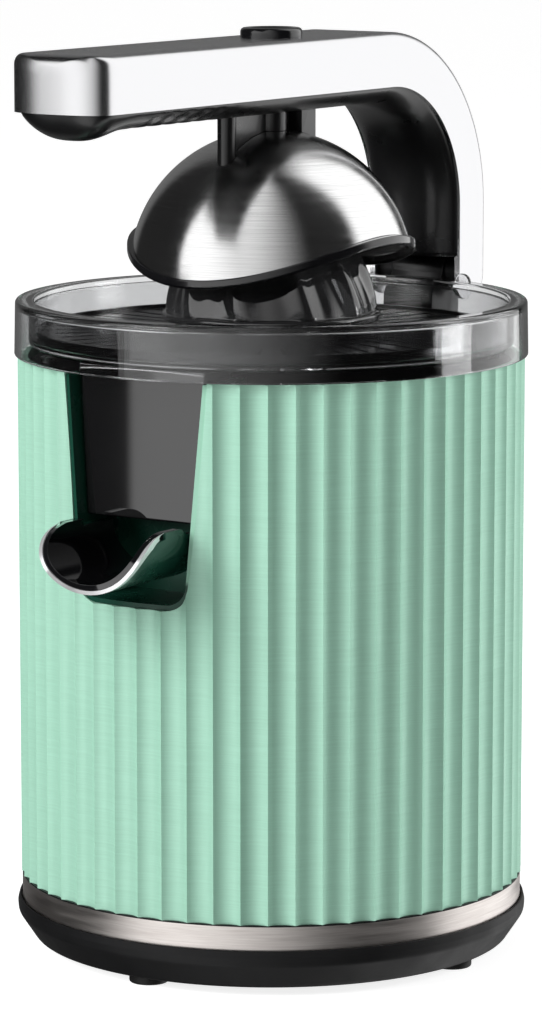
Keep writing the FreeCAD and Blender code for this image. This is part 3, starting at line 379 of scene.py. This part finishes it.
paints = {
    "green_paint": greenPaint(),
    # the dark green of this moulding is painted shade
    "green_moulding": shadedGreenMoulding(),
    "black_moulding": plastic("black_moulding", (0.008, 0.008, 0.0085), 0.48, 900, 0.2, sheen=0.22),
    "gloss_black": plastic("gloss_black", (0.006, 0.006, 0.007), 0.16, 300, 0.03, coat=0.5),
    "strainer_black": plastic("strainer_black", (0.010, 0.010, 0.011), 0.2, 300, 0.04, coat=0.3),
    "smoked_clear": smokedClear("smoked_clear", (0.80, 0.805, 0.81)),
    "reamer_smoke": smokedClear("reamer_smoke", (0.06, 0.061, 0.063), 0.02, weight=0.6, index=1.75),
    "brushed_band": brushedSteel("brushed_band", (0.56, 0.515, 0.49), (0.72, 0.68, 0.65), 0.36,
                                 lines=(60, 60, 2600), anisotropy=0.0),
    "brushed_dome": brushedSteel("brushed_dome", (0.60, 0.60, 0.60), (0.78, 0.78, 0.78), 0.17),
    "silver_arm": plainMetal("silver_arm", (0.645, 0.645, 0.655), 0.25, 1400, 0.0, cloudy=0.985),
    "chrome_trim": plainMetal("chrome_trim", (0.90, 0.90, 0.91), 0.14, 200, 0.02, metallic=0.55),
    "rubber": plastic("rubber", (0.008, 0.008, 0.008), 0.6, 1100, 0.3, sheen=0.3),
    "steel": plainMetal("steel", (0.55, 0.55, 0.56), 0.30, 600, 0.08),
    "spring_steel": plainMetal("spring_steel", (0.45, 0.45, 0.47), 0.28, 600, 0.08),
    "rotor_iron": plainMetal("rotor_iron", (0.20, 0.20, 0.21), 0.45, 500, 0.15),
    "bronze": plainMetal("bronze", (0.55, 0.36, 0.16), 0.38, 500, 0.1),
    "gear_nylon": plastic("gear_nylon", (0.72, 0.70, 0.62), 0.45, 500, 0.08),
    "red_button": plastic("red_button", (0.45, 0.03, 0.02), 0.4, 500, 0.08),
}
slotOf = {part["node"]: part["material_slot"] for part in frame["record"]["subparts"]}
for nodeName, node in frame["nodes"].items():
    node.data.materials.clear()
    node.data.materials.append(paints[slotOf[nodeName]])
# the recess lining, in the dark green of painted shade
frame["nodes"]["spout_recess"].data.materials[0] = recessMoulding()
satinBlack = plastic("satin_black", (0.007, 0.007, 0.0075), 0.30, 500, 0.03, coat=0.15)
print("materials made")


def rayKinds(tree):
    # two factors from the light path: 1 for rays that come straight from the eye or through clear
    # plastic, and 1 for rays that have been mirrored, even if they then pass through clear plastic
    kind = tree.add("ShaderNodeLightPath").outputs
    through = kind["Is Transmission Ray"]
    bounced = tree.math("MINIMUM", kind["Glossy Depth"], 1.0)
    matt = tree.math("MINIMUM", kind["Diffuse Depth"], 1.0)
    plain = tree.math("SUBTRACT", 1.0, tree.math("MAXIMUM", bounced, matt))
    seen = tree.math("MAXIMUM", kind["Is Camera Ray"], tree.math("MULTIPLY", through, plain))
    mirrored = tree.math("MAXIMUM", kind["Is Glossy Ray"], tree.math("MULTIPLY", through, bounced))
    return seen, mirrored


def makeFloor():
    # one wide pale disc under the feet: a fan of triangles round its middle. It glows a little for
    # the eye, and mirrors don't see it
    look = {"radius": 30.0, "sides": 64, "grey": 0.6, "glow": 0.82}
    angle = aroundAngles(look["sides"])
    ring = look["radius"] * np.stack([np.cos(angle), np.sin(angle), 0 * angle], axis=-1)
    first = np.arange(look["sides"])
    fan = np.stack([0 * first, 1 + first, 1 + np.roll(first, -1)], axis=-1)
    mesh = bpy.data.meshes.new("floor")
    mesh.from_pydata([(0, 0, 0)] + ring.tolist(), [], fan.tolist())
    floor = bpy.data.objects.new("floor", mesh)
    bpy.context.scene.collection.objects.link(floor)
    m = Paint("floor_paper")
    seen, mirrored = rayKinds(m)
    m.set(Base_Color=(look["grey"], look["grey"], look["grey"], 1), Roughness=0.9, Specular_IOR_Level=0.1)
    m.set(Emission_Color=(1, 1, 1, 1), Emission_Strength=m.math("MULTIPLY", seen, look["glow"]))
    mix = m.add("ShaderNodeMixShader")
    m.put(mirrored, mix.inputs["Fac"])
    m.put(m.shader.outputs["BSDF"], mix.inputs[1])
    m.put(m.add("ShaderNodeBsdfTransparent").outputs["BSDF"], mix.inputs[2])
    m.put(mix.outputs["Shader"], m.tree.nodes["Material Output"].inputs["Surface"])
    mesh.materials.append(m.material)


def makeWorld():
    # white behind the press and a low even light on matt surfaces; what glossy surfaces see is a
    # dark room with soft bright walls. Angles are in degrees, and compass 0 is in front of the spout.
    # A wall's light is the product of three smooth ramps: up over rise before start, down over fall
    # after end, and down over fade on each side of top. Its sides lean by lean for each degree of
    # height and step sideways just under the horizon; its top drops by slope for each degree of compass.
    look = {"behind": 1.0, "even": 0.26, "dark": 0.022, "stepFrom": -7.0, "stepTo": -1.0}
    walls = {
        "frontLeft": {"start": -35.45, "rise": 0.15, "end": -16, "fall": 86, "lean": 0.09, "step": 10.0,
                      "top": 26.5, "fade": 3.0, "slope": 0.38, "light": 1.5},
        "backLeft": {"start": -172, "rise": 8, "end": -122, "fall": 16, "lean": 0.0, "step": 0.0,
                     "top": 60, "fade": 20, "slope": 0.0, "light": 0.16},
        "frontRight": {"start": 7, "rise": 14, "end": 6, "fall": 66, "lean": 0.0, "step": 0.0,
                       "top": 84, "fade": 12, "slope": 0.0, "light": 1.0},
        "backRight": {"start": 124, "rise": 13, "end": 178, "fall": 12, "lean": -0.2, "step": 9.0,
                      "top": 76, "fade": 14, "slope": 0.0, "light": 1.5}}
    world = bpy.data.worlds.new("studio")
    bpy.context.scene.world = world
    world.use_nodes = True
    world.cycles.sampling_method = "NONE"
    w = NodeTree(world.node_tree)
    sides = w.add("ShaderNodeSeparateXYZ")
    w.put(w.add("ShaderNodeTexCoord").outputs["Generated"], sides.inputs["Vector"])
    forward = w.math("MULTIPLY", sides.outputs["Y"], -1.0)
    compass = w.math("MULTIPLY", w.math("ARCTAN2", sides.outputs["X"], forward), 180 / math.pi)
    height = w.math("MULTIPLY", w.math("ARCSINE", sides.outputs["Z"]), 180 / math.pi)
    upward = w.math("MAXIMUM", height, 0.0)
    room = look["dark"]
    for wall in walls.values():
        aside = w.span(height, 0.0, wall["step"], look["stepFrom"], look["stepTo"], "SMOOTHSTEP")
        angle = w.math("ADD", w.math("ADD", compass, w.math("MULTIPLY", upward, wall["lean"])), aside)
        tilted = w.math("ADD", height, w.math("MULTIPLY", compass, wall["slope"]))
        rising = w.span(angle, 0.0, 1.0, wall["start"] - wall["rise"], wall["start"], "SMOOTHSTEP")
        falling = w.span(angle, 1.0, 0.0, wall["end"], wall["end"] + wall["fall"], "SMOOTHSTEP")
        below = w.span(tilted, wall["light"], 0.0, wall["top"] - wall["fade"], wall["top"] + wall["fade"],
                       "SMOOTHSTEP")
        room = w.math("MAXIMUM", room, w.math("MULTIPLY", w.math("MULTIPLY", rising, falling), below))
    seen, mirrored = rayKinds(w)
    background = w.tree.nodes["Background"].inputs
    w.put((1, 1, 1, 1), background["Color"])
    w.put(w.choose(seen, w.choose(mirrored, look["even"], room), look["behind"]), background["Strength"])


lamps = {
    "key": {"azimuth": -28, "elevation": 30, "distance": 2.2, "width": 1.0, "height": 1.6, "power": 46},
    "side": {"azimuth": 124, "elevation": 12, "distance": 2.0, "width": 0.7, "height": 1.6, "power": 26}}
pressMiddle = Vector((0, 0, 0.17))


def softbox(name, azimuth, elevation, distance, width, height, power):
    # an area light on a sphere round the press, turned to its middle; azimuth 0 is before the spout
    a, e = math.radians(azimuth), math.radians(elevation)
    back = Vector((math.sin(a) * math.cos(e), -math.cos(a) * math.cos(e), math.sin(e)))
    light = bpy.data.lights.new(name, "AREA")
    light.shape = "RECTANGLE"
    light.size = width
    light.size_y = height
    light.energy = power
    lamp = bpy.data.objects.new(name, light)
    lamp.location = pressMiddle + back * distance
    lamp.rotation_mode = "QUATERNION"
    lamp.rotation_quaternion = back.to_track_quat("Z", "Y")
    lamp.visible_glossy = False
    bpy.context.scene.collection.objects.link(lamp)


def makeCamera():
    # a long lens from the front right, a little above the lever, aimed at a point just beside the axis
    view = {"azimuth": 33.736, "distance": 1.61734, "height": 0.41363, "aim": 0.1561, "aside": -0.00011,
            "lens": 160.466}
    a = math.radians(view["azimuth"])
    data = bpy.data.cameras.new("camera")
    data.lens = view["lens"]
    data.clip_end = 60
    camera = bpy.data.objects.new("camera", data)
    camera.location = (math.sin(a) * view["distance"], -math.cos(a) * view["distance"], view["height"])
    aim = Vector((view["aside"] * math.cos(a), view["aside"] * math.sin(a), view["aim"]))
    camera.rotation_mode = "QUATERNION"
    camera.rotation_quaternion = (aim - camera.location).to_track_quat("-Z", "Y")
    bpy.context.scene.collection.objects.link(camera)
    bpy.context.scene.camera = camera


makeFloor()
makeWorld()
for name, lamp in lamps.items():
    softbox(name, **lamp)
makeCamera()
bpy.context.scene.view_settings.view_transform = "Standard"
print("stage made")


dome = {"radius": 50.5, "wall": 1.0, "saddle": 96.3, "rimLow": 244.0, "rows": 56, "columns": 192}
gasket = {"tall": 3.1, "wide": 2.7, "lap": 0.25, "inset": 0.55}
dome["centre"] = boxOf("press_dome")[1][2] - dome["radius"]


def domeRim(angle, radius):
    # height of the rim, which is lowest at the front and back and rises at the sides: the lowest
    # height plus the depth of a circle of radius saddle at the distance across
    across = radius * np.cos(angle)
    return dome["rimLow"] + dome["saddle"] - np.sqrt(dome["saddle"] ** 2 - across ** 2)


def makeDome():
    # a sphere from its pole down to the rim, inside and outside: the angle from the pole is a share of
    # the angle at which the sphere meets the rim, arccos of the rim's height over the radius
    angle = aroundAngles(dome["columns"])
    share = np.sin(np.linspace(0, np.pi / 2, dome["rows"])) ** 0.9
    layers = []
    for radius, order in ((dome["radius"] - dome["wall"], 1), (dome["radius"], -1)):
        rim = domeRim(angle, radius) - dome["centre"]
        polar = share[:, None] * np.arccos(np.clip(rim / radius, -1, 1))
        across, up = radius * np.sin(polar), radius * np.cos(polar)
        sphere = np.stack([across * np.cos(angle), across * np.sin(angle), dome["centre"] + up], axis=-1)
        layers.append(sphere[::order])
    points = np.concatenate(layers)
    meshObject("dome_skin", points, gridFaces(len(points), dome["columns"], False, True), "lever_arm",
               paints["brushed_dome"], ("press_dome",))


def makeGasket():
    # a strip with a rounded section carried round the dome's rim
    angle = aroundAngles(dome["columns"])
    wide, tall, lap = gasket["wide"] / 2, gasket["tall"], gasket["lap"]
    section = cornered([(-wide, -tall), (wide, -tall), (wide, lap), (-wide, lap)], [1.0, 1.1, 0.5, 0.4], 5)
    middle = dome["radius"] - gasket["inset"]
    outward = np.stack([np.cos(angle), np.sin(angle), 0 * angle], axis=-1)
    upward = np.broadcast_to(np.array([0.0, 0.0, 1.0]), outward.shape)
    path = middle * outward + domeRim(angle, middle)[:, None] * upward
    points = sweptPoints(path, outward, upward, section)
    meshObject("dome_rim_strip", points, gridFaces(dome["columns"], len(section), True, True), "lever_arm",
               paints["gloss_black"], ("dome_gasket",))


makeDome()
makeGasket()
print("dome made")


arm = {"half": 19.7, "under": 306.3, "tall": 19.6, "tip": -131.5, "bendY": 50.0, "bendZ": 260.0,
       "edge": 3.8, "wall": 2.2, "nose": 12.0, "blunt": 3.1, "hingeZ": 234.0, "foot": 9.85,
       "notch": 247.0, "notchY": 90.0}
arm["beam"] = arm["bendY"] - arm["tip"]  # length of the straight beam
arm["radius"] = arm["under"] - arm["bendZ"]  # of the bend's inner side
arm["bent"] = arm["beam"] + arm["radius"] * math.pi / 2  # length up to the end of the bend
liner = {"start": 2.6, "nose": 11.0, "blunt": 2.2, "inset": 1.2, "gap": 0.15, "inside": 2.0, "end": 241.0,
         "depth": 6.8, "swell": 2.6, "swellY": -119.0, "swellRun": 9.5,
         "grooves": 1.0, "pitch": 9.2, "crestY": -94.0, "fromY": -98.0, "toY": -44.0}
knob = {"radius": 11.0, "rim": 3.2, "slope": 1.0, "drop": 0.15, "step": 0.65, "dish": 0.8}


def armSurface(stations, across, height):
    # points across the arm and above its inner line, at each distance from the tip. The inner line
    # goes straight back to the bend, makes a quarter turn, then goes straight down
    turn = np.clip((stations - arm["beam"]) / arm["radius"], 0, np.pi / 2)
    down = np.maximum(stations - arm["bent"], 0)
    y = arm["tip"] + np.minimum(stations, arm["beam"]) + arm["radius"] * np.sin(turn)
    z = arm["bendZ"] + arm["radius"] * np.cos(turn) - down
    return np.stack([across, y + height * np.sin(turn), z + height * np.cos(turn)], axis=-1).swapaxes(0, 1)


def noseShare(distance, length, blunt):
    # 0 at the tip and 1 from length on, along a superellipse whose power is blunt
    rest = np.clip(1 - distance / length, 0, 1)
    return (1 - rest ** blunt) ** (1 / blunt)


def easedStart(count):
    # shares from 0 to 1, close together at the start
    return 1 - np.cos(np.linspace(0, np.pi / 2, count))


def makeArmShell():
    # the outside of the arm, thickened inwards: its half width and its top fall away to the tip along
    # superellipses, and at the foot its two sides follow a circle round the hinge
    total = arm["bent"] + arm["bendZ"] - arm["hingeZ"] + arm["foot"]
    foot = total - arm["foot"] * (1 - np.sin(np.linspace(0, np.pi / 2, 14)))
    stations = np.concatenate([arm["nose"] * easedStart(26), np.linspace(arm["nose"] + 1.5, arm["beam"], 40),
                               np.linspace(arm["beam"], arm["bent"], 42)[1:],
                               np.linspace(arm["bent"], foot[0], 14)[1:-1], foot])
    half = arm["half"] * noseShare(stations, arm["nose"], arm["blunt"])
    top = arm["tall"] - arm["edge"] + arm["edge"] * noseShare(stations, arm["edge"] * 1.1, 2.0)
    below = np.clip(stations - (total - arm["foot"]), 0, arm["foot"])
    chord = np.sqrt(arm["foot"] ** 2 - below ** 2)
    isFoot = stations > total - arm["foot"]
    low = np.where(isFoot, arm["foot"] - chord, 0.0)
    high = np.where(isFoot, arm["foot"] + chord, top)
    # section: up one side, round the edge, across the top and down the other side
    side = np.linspace(0, 1, 9)[:, None]
    quarter = np.linspace(0, np.pi / 2, 9)[:, None]
    flat = np.linspace(0, 1, 12)[:, None]
    edge = np.minimum(arm["edge"], np.minimum(half * 0.98, (high - low) * 0.45))
    across = np.concatenate([half + 0 * side, half - edge + edge * np.cos(quarter),
                             (half - edge) * (1 - flat)])
    height = np.concatenate([low + (high - edge - low) * side, high - edge + edge * np.sin(quarter),
                             high + 0 * flat])
    across = np.concatenate([across, -across[::-1][1:]])
    height = np.concatenate([height, height[::-1][1:]])
    points = armSurface(stations, across, height)
    faces = gridFaces(len(stations), len(across))
    middle = points.reshape(-1, 3)[faces].mean(axis=1)
    inner = abs(middle[:, 0]) < arm["half"] - arm["wall"]
    notch = inner & (middle[:, 1] > arm["notchY"]) & (middle[:, 2] < arm["notch"])
    piece = meshObject("arm_skin", points, faces[~notch], "lever_arm", paints["silver_arm"],
                       ("arm_shell",))
    outward = piece.data.polygons[0].normal.x * piece.data.polygons[0].center.x > 0
    thicken(piece, arm["wall"], -1.0 if outward else 1.0)
    bevel(piece, 0.35, 2, 50)


def makeLiner():
    # the crowned black underside: its depth is a level plus a swell before the fingers, less a cosine
    # wave for the finger grooves, rounded off at the nose; across, the crown falls as 1 - |t| ** 2.6
    start, total = liner["start"], arm["bent"] + arm["bendZ"] - liner["end"]
    stations = np.concatenate([start + liner["nose"] * easedStart(22),
                               np.linspace(start + liner["nose"] + 1, arm["beam"], 150),
                               np.linspace(arm["beam"], arm["bent"], 44)[1:],
                               np.linspace(arm["bent"], total, 12)[1:]])
    y = arm["tip"] + stations
    share = noseShare(stations - start, liner["nose"], liner["blunt"])
    half = (arm["half"] - liner["inset"]) * noseShare(stations - start + 0.6, arm["nose"], arm["blunt"])
    window = np.clip((y - liner["fromY"]) / 6, 0, 1) * np.clip((liner["toY"] - y) / 8, 0, 1)
    wave = 0.5 + 0.5 * np.cos((y - liner["crestY"]) * 2 * np.pi / liner["pitch"])
    swell = liner["swell"] * np.exp(-((y - liner["swellY"]) / liner["swellRun"]) ** 2)
    depth = (liner["depth"] + swell - liner["grooves"] * window * wave) * share
    t = np.linspace(-1, 1, 41)[:, None]
    crown = (1 - abs(t) ** 2.6) ** 0.8
    across = np.concatenate([half * t, (half - liner["inset"]) * np.array([[1.0], [-1.0]])])
    height = np.concatenate([-liner["gap"] - depth * crown, np.full((2, len(stations)), liner["inside"])])
    points = armSurface(stations, across, height)
    ends = np.array([points[0].mean(axis=0), points[-1].mean(axis=0)])
    points = np.concatenate([points.reshape(-1, 3), ends])
    meshObject("arm_underside", points, fannedFaces(len(stations), len(across)), "lever_arm",
               satinBlack, ("arm_liner",))


def makeKnob():
    # a turned button with a rounded rim round a shallow dish
    low, high = boxOf("release_knob")
    radius, bottom, top = knob["radius"], low[2], high[2]
    outline = cornered([(0, bottom), (radius, bottom), (radius, top),
                        (radius - knob["rim"], top - knob["drop"]),
                        (radius - knob["rim"] - knob["slope"], top - knob["step"]),
                        (0, top - knob["dish"])], [0, 0.3, 1.5, 0.8, 0.8, 0])
    turnedPiece("knob_cap", outline, "release_knob", paints["gloss_black"], ("release_knob",),
                96)


makeArmShell()
makeLiner()
makeKnob()
softCopy("dome_bracket", "lever_arm", satinBlack, 0.7)
softCopy("hinge_tower", "body_unit", satinBlack, 0.8)
print("lever arm made")


bowl = {"outer": 91.6, "inner": 84.6, "low": 213.9, "rim": 233.5, "rimDeep": 2.3, "wall": 2.0,
        "floor": 217.0, "hubInner": 13.3, "hubOuter": 15.5, "hubTop": 236.0}
chute = {"front": -79.8, "back": -63.5, "low": 164.0, "wall": 1.8, "half": 26.2, "widest": 213.7,
         "taper": 0.052}
lug = {"radius": 3.3, "aside": 30, "front": 80.7, "back": 82.3, "sunk": 0.2, "columns": 24}
reamer = {"low": 226.0, "start": 3, "tall": 52.5, "radius": 36.5, "ribs": 10, "twist": 0.35, "lift": 3.0,
          "wall": 4.0, "skirtIn": 33.5, "skirtOut": 39.0, "rows": 90, "columns": 240}


def makeBowl():
    # one turned wall: the collar's outside, the rim, the inside, the floor and the hub tube
    inner, outer, wall, rim = bowl["inner"], bowl["outer"], bowl["wall"], bowl["rim"]
    floor, underRim = bowl["floor"], bowl["rim"] - bowl["rimDeep"]
    corners = [(outer, bowl["low"]), (outer - 0.4, rim), (inner, rim), (inner, floor + wall),
               (bowl["hubOuter"], floor + wall), (bowl["hubOuter"], bowl["hubTop"]),
               (bowl["hubInner"], bowl["hubTop"]), (bowl["hubInner"], floor), (inner + wall, floor),
               (inner + wall, underRim), (outer - wall, underRim), (outer - wall, bowl["low"])]
    radii = [0.5, 1.3, 1.1, 1.6, 1.0, 0.6, 0.6, 1.0, 2.0, 0.7, 0.7, 0.4]
    turnedPiece("bowl_dish", cornered(corners, radii, 5), "body_unit", paints["smoked_clear"],
                ("juice_bowl",), 192)


def makeChute():
    # a rectangular duct, open at the bottom, whose half width shrinks by taper for each mm of height
    z = np.linspace(bowl["floor"] - 0.1, chute["low"], 24)[:, None]
    half = chute["half"] - chute["taper"] * (chute["widest"] - z)
    rings = []
    for inset in (0.0, chute["wall"]):
        x = np.array([-1, 1, 1, -1]) * (half - inset)
        front, back = chute["front"] + inset, chute["back"] - inset
        y = np.broadcast_to(np.array([front, front, back, back]), x.shape)
        rings.append(np.stack([x, y, z + 0 * x], axis=-1))
    points = np.concatenate([rings[0], rings[1][::-1]])
    dark = plastic("smoked_chute", (0.007, 0.007, 0.0075), 0.014, 40, 0.0, coat=0.35, sheen=0.75)
    piece = meshObject("bowl_chute", points, gridFaces(len(points), 4, True, True), "body_unit",
                       dark, ())
    bevel(piece, 0.8, 3)


def makeLugs():
    # two half-round thumb lugs on the back of the rim: a half circle carried from front to back
    angle = np.linspace(0, np.pi, lug["columns"])
    y = np.array([[lug["front"]], [lug["back"]]]) + 0 * angle
    z = bowl["rim"] - lug["sunk"] + lug["radius"] * np.sin(angle) + 0 * y
    for side, name in ((-1, "left"), (1, "right")):
        x = lug["aside"] * side + lug["radius"] * np.cos(angle) + 0 * y
        piece = meshObject("bowl_lug_" + name, np.stack([x, y, z], axis=-1), cappedFaces(2, lug["columns"]),
                           "body_unit", paints["smoked_clear"], ())
        bevel(piece, 0.4, 3, 50)


def makeReamer():
    # radius by share t of the height: a pointed cone, (1 - t ** 1.55) ** 0.78, with twisted cosine
    # ribs that fade out to the skirt and the tip; then the skirt, and a smooth cone inside
    t = np.linspace(0, 1, reamer["rows"])
    low, outer, count = reamer["low"], reamer["skirtOut"], reamer["columns"]
    height = low + reamer["start"] + reamer["tall"] * t
    cone = reamer["radius"] * (1 - t ** 1.55) ** 0.78
    angle = aroundAngles(count)
    rib = (0.5 + 0.5 * np.cos(reamer["ribs"] * (angle + reamer["twist"] * t[:, None]))) ** 2.4
    lift = reamer["lift"] * np.sin(np.pi * np.clip(t * 0.9 + 0.12, 0, 1)) ** 0.6 * np.clip(cone / 6, 0, 1)
    radius = cone[:, None] + lift[:, None] * (rib - 0.35)
    body = np.stack([radius * np.cos(angle), radius * np.sin(angle), height[:, None] + 0 * angle], axis=-1)
    skirt = cornered([(reamer["skirtIn"], low + 1.2), (reamer["skirtIn"] + 1, low), (outer, low),
                      (outer, low + 2.8), (outer - 1.8, low + 3.0)], [0.4, 0.4, 0.9, 0.9, 0.2], 5)
    inside = np.stack([np.maximum(cone - reamer["wall"], 0.0)[::-1], (height - 2.5)[::-1]], axis=-1)
    points = np.concatenate([turnedPoints(inside, count), turnedPoints(skirt, count), body])
    meshObject("reamer_cone", points, gridFaces(len(points), count, False, True), "reamer_drive",
               paints["reamer_smoke"], ("reamer",))


makeBowl()
makeChute()
makeLugs()
makeReamer()
print("bowl and reamer made")


spout = {"half": 22.2, "deep": 19.1, "centre": 161.9, "joint": 0.25, "top": 163.8, "back": -71.0,
         "noseY": -97.5, "noseZ": 147.4, "nose": 16.0, "notchY": -95.0, "notchZ": 161.4, "notchRun": 6.0}
trim = {"inner": 1.25, "outer": -0.1, "proud": 0.1, "wide": 2.1, "fine": 0.12, "fineOver": 5.0}


def scoopSection(inset, top):
    # the section from its left top edge to its right top edge, for each top height: half an ellipse
    # below the joint, and above it points at even heights on the ellipse and then straight up
    half, deep = spout["half"] - inset, spout["deep"] - inset
    turn = np.linspace(0, 1, 24)[None]
    share = np.linspace(0, 1, 10)[None, 1:]
    joint = spout["centre"] - deep * spout["joint"]
    low = spout["centre"] - deep * np.cos(turn * math.acos(spout["joint"]))
    z = np.concatenate([low + 0 * top[:, None], joint + (top[:, None] - joint) * share], axis=1)
    x = half * np.sqrt(1 - np.clip((spout["centre"] - z) / deep, 0, 1) ** 2)
    return np.concatenate([-x[:, :0:-1], x], axis=1), np.concatenate([z[:, :0:-1], z], axis=1)


def scoopSheet(inset, radius, rows=44):
    # the section carried from the back of the scoop to a front that is a circle of the nose radius
    # seen from the side; the top edge dips at the back, with a smooth ramp before the chute
    share = np.linspace(0, 1, rows)
    rough = spout["back"] + share * (spout["noseY"] - 10 - spout["back"])
    run = np.clip((rough - spout["notchY"]) / spout["notchRun"], 0, 1)
    tops = spout["top"] - (spout["top"] - spout["notchZ"]) * run ** 2 * (3 - 2 * run)
    x, z = scoopSection(inset, tops)
    above = np.clip(z - spout["noseZ"], 0, radius * 0.9999)
    front = spout["noseY"] - np.sqrt(radius ** 2 - above ** 2)
    y = spout["back"] + share[:, None] * (front - spout["back"])
    return np.stack([x, y, z], axis=-1)


def sheetPair(outer, inner):
    # two matching grids of points joined all round their borders into one closed wall
    rows, columns = outer.shape[:2]
    count = rows * columns
    border = np.concatenate([np.arange(columns), np.arange(1, rows) * columns + columns - 1,
                             (rows - 1) * columns + np.arange(columns - 2, -1, -1),
                             np.arange(rows - 2, 0, -1) * columns])
    following = np.roll(border, -1)
    strip = np.stack([border, border + count, following + count, following], axis=-1)
    faces = gridFaces(rows, columns)
    points = np.concatenate([outer.reshape(-1, 3), inner.reshape(-1, 3)])
    return points, np.concatenate([faces, faces[:, ::-1] + count, strip])


def makeScoop():
    # two walls between sheets of different inset and nose radius: the polished tray and, outside it,
    # the green underside, whose dark green is painted shade
    nose = spout["nose"]
    polished = plastic("polished_black", (0.006, 0.006, 0.007), 0.05, 60, 0.01, coat=1.0)
    points, faces = sheetPair(scoopSheet(1.3, nose - 0.2), scoopSheet(3.3, nose + 0.2))
    tray = meshObject("spout_scoop", points, faces, "spout", polished, ("spout_tray",))
    bevel(tray, 0.75, 4, 50)
    points, faces = sheetPair(scoopSheet(0.0, nose - 1.9), scoopSheet(1.2, nose - 1.9))
    under = meshObject("spout_under_skin", points, faces, "spout", paints["green_moulding"],
                       ("spout_cover",))
    bevel(under, 0.3, 2, 50)


def makeTrim():
    # a bright strip of four lines along the scoop's front edge; its thickness grows from fine at its
    # two upper ends to full as it goes down by about fineOver mm
    def edgeLine(inset, proud):
        return scoopSheet(inset, spout["nose"] + proud, 2)[-1]

    lip = edgeLine(trim["inner"], trim["proud"])
    behind = edgeLine(trim["inner"], -trim["wide"])
    outer = edgeLine(trim["outer"], 0.0)
    outerBehind = edgeLine(trim["outer"], -trim["wide"])
    below = (outer[:, 2].max() - outer[:, 2]) / trim["fineOver"]
    share = np.clip(trim["fine"] + below, trim["fine"], 1.0)[:, None]
    middle = (lip + outer) / 2
    lines = [middle + (line - middle) * share for line in (outer, lip, behind, outerBehind)]
    section = np.stack(lines, axis=1)
    piece = meshObject("spout_bright_rim", section, cappedFaces(len(section), 4), "spout",
                       paints["chrome_trim"], ("spout_trim",))
    bevel(piece, 0.35, 3, 50)


makeScoop()
makeTrim()
print("spout made")


base = {"low": 3.0, "floor": 6.0, "step": 12.0, "seat": 14.0, "top": 17.5, "bottom": 85.5, "outer": 91.9,
        "groove": 90.6, "inner": 84.0}


def makeBase():
    # the turned tray, with a sloping side, a rounded lip and a groove for the steel band
    low, floor, seat, top = base["low"], base["floor"], base["seat"], base["top"]
    outer, groove, inner = base["outer"], base["groove"], base["inner"]
    tray = cornered([(0, low), (base["bottom"], low), (outer - 0.2, 12.3), (outer, 15.0), (outer - 0.6, top),
                     (groove, top), (groove, seat), (inner, seat), (inner, base["step"]),
                     (inner - 1, floor), (0, floor)],
                    [0, 2.5, 3.0, 1.5, 0.3, 0.3, 0.2, 0.2, 0.3, 1.0, 0], 5)
    turnedPiece("tray_skin", tray, "body_unit", paints["black_moulding"], ("base_tray",),
                200)
    for name in ("front_foot", "right_foot", "back_foot", "left_foot"):
        softCopy(name, "body_unit", paints["rubber"], 0.8)


makeBase()
print("base made")
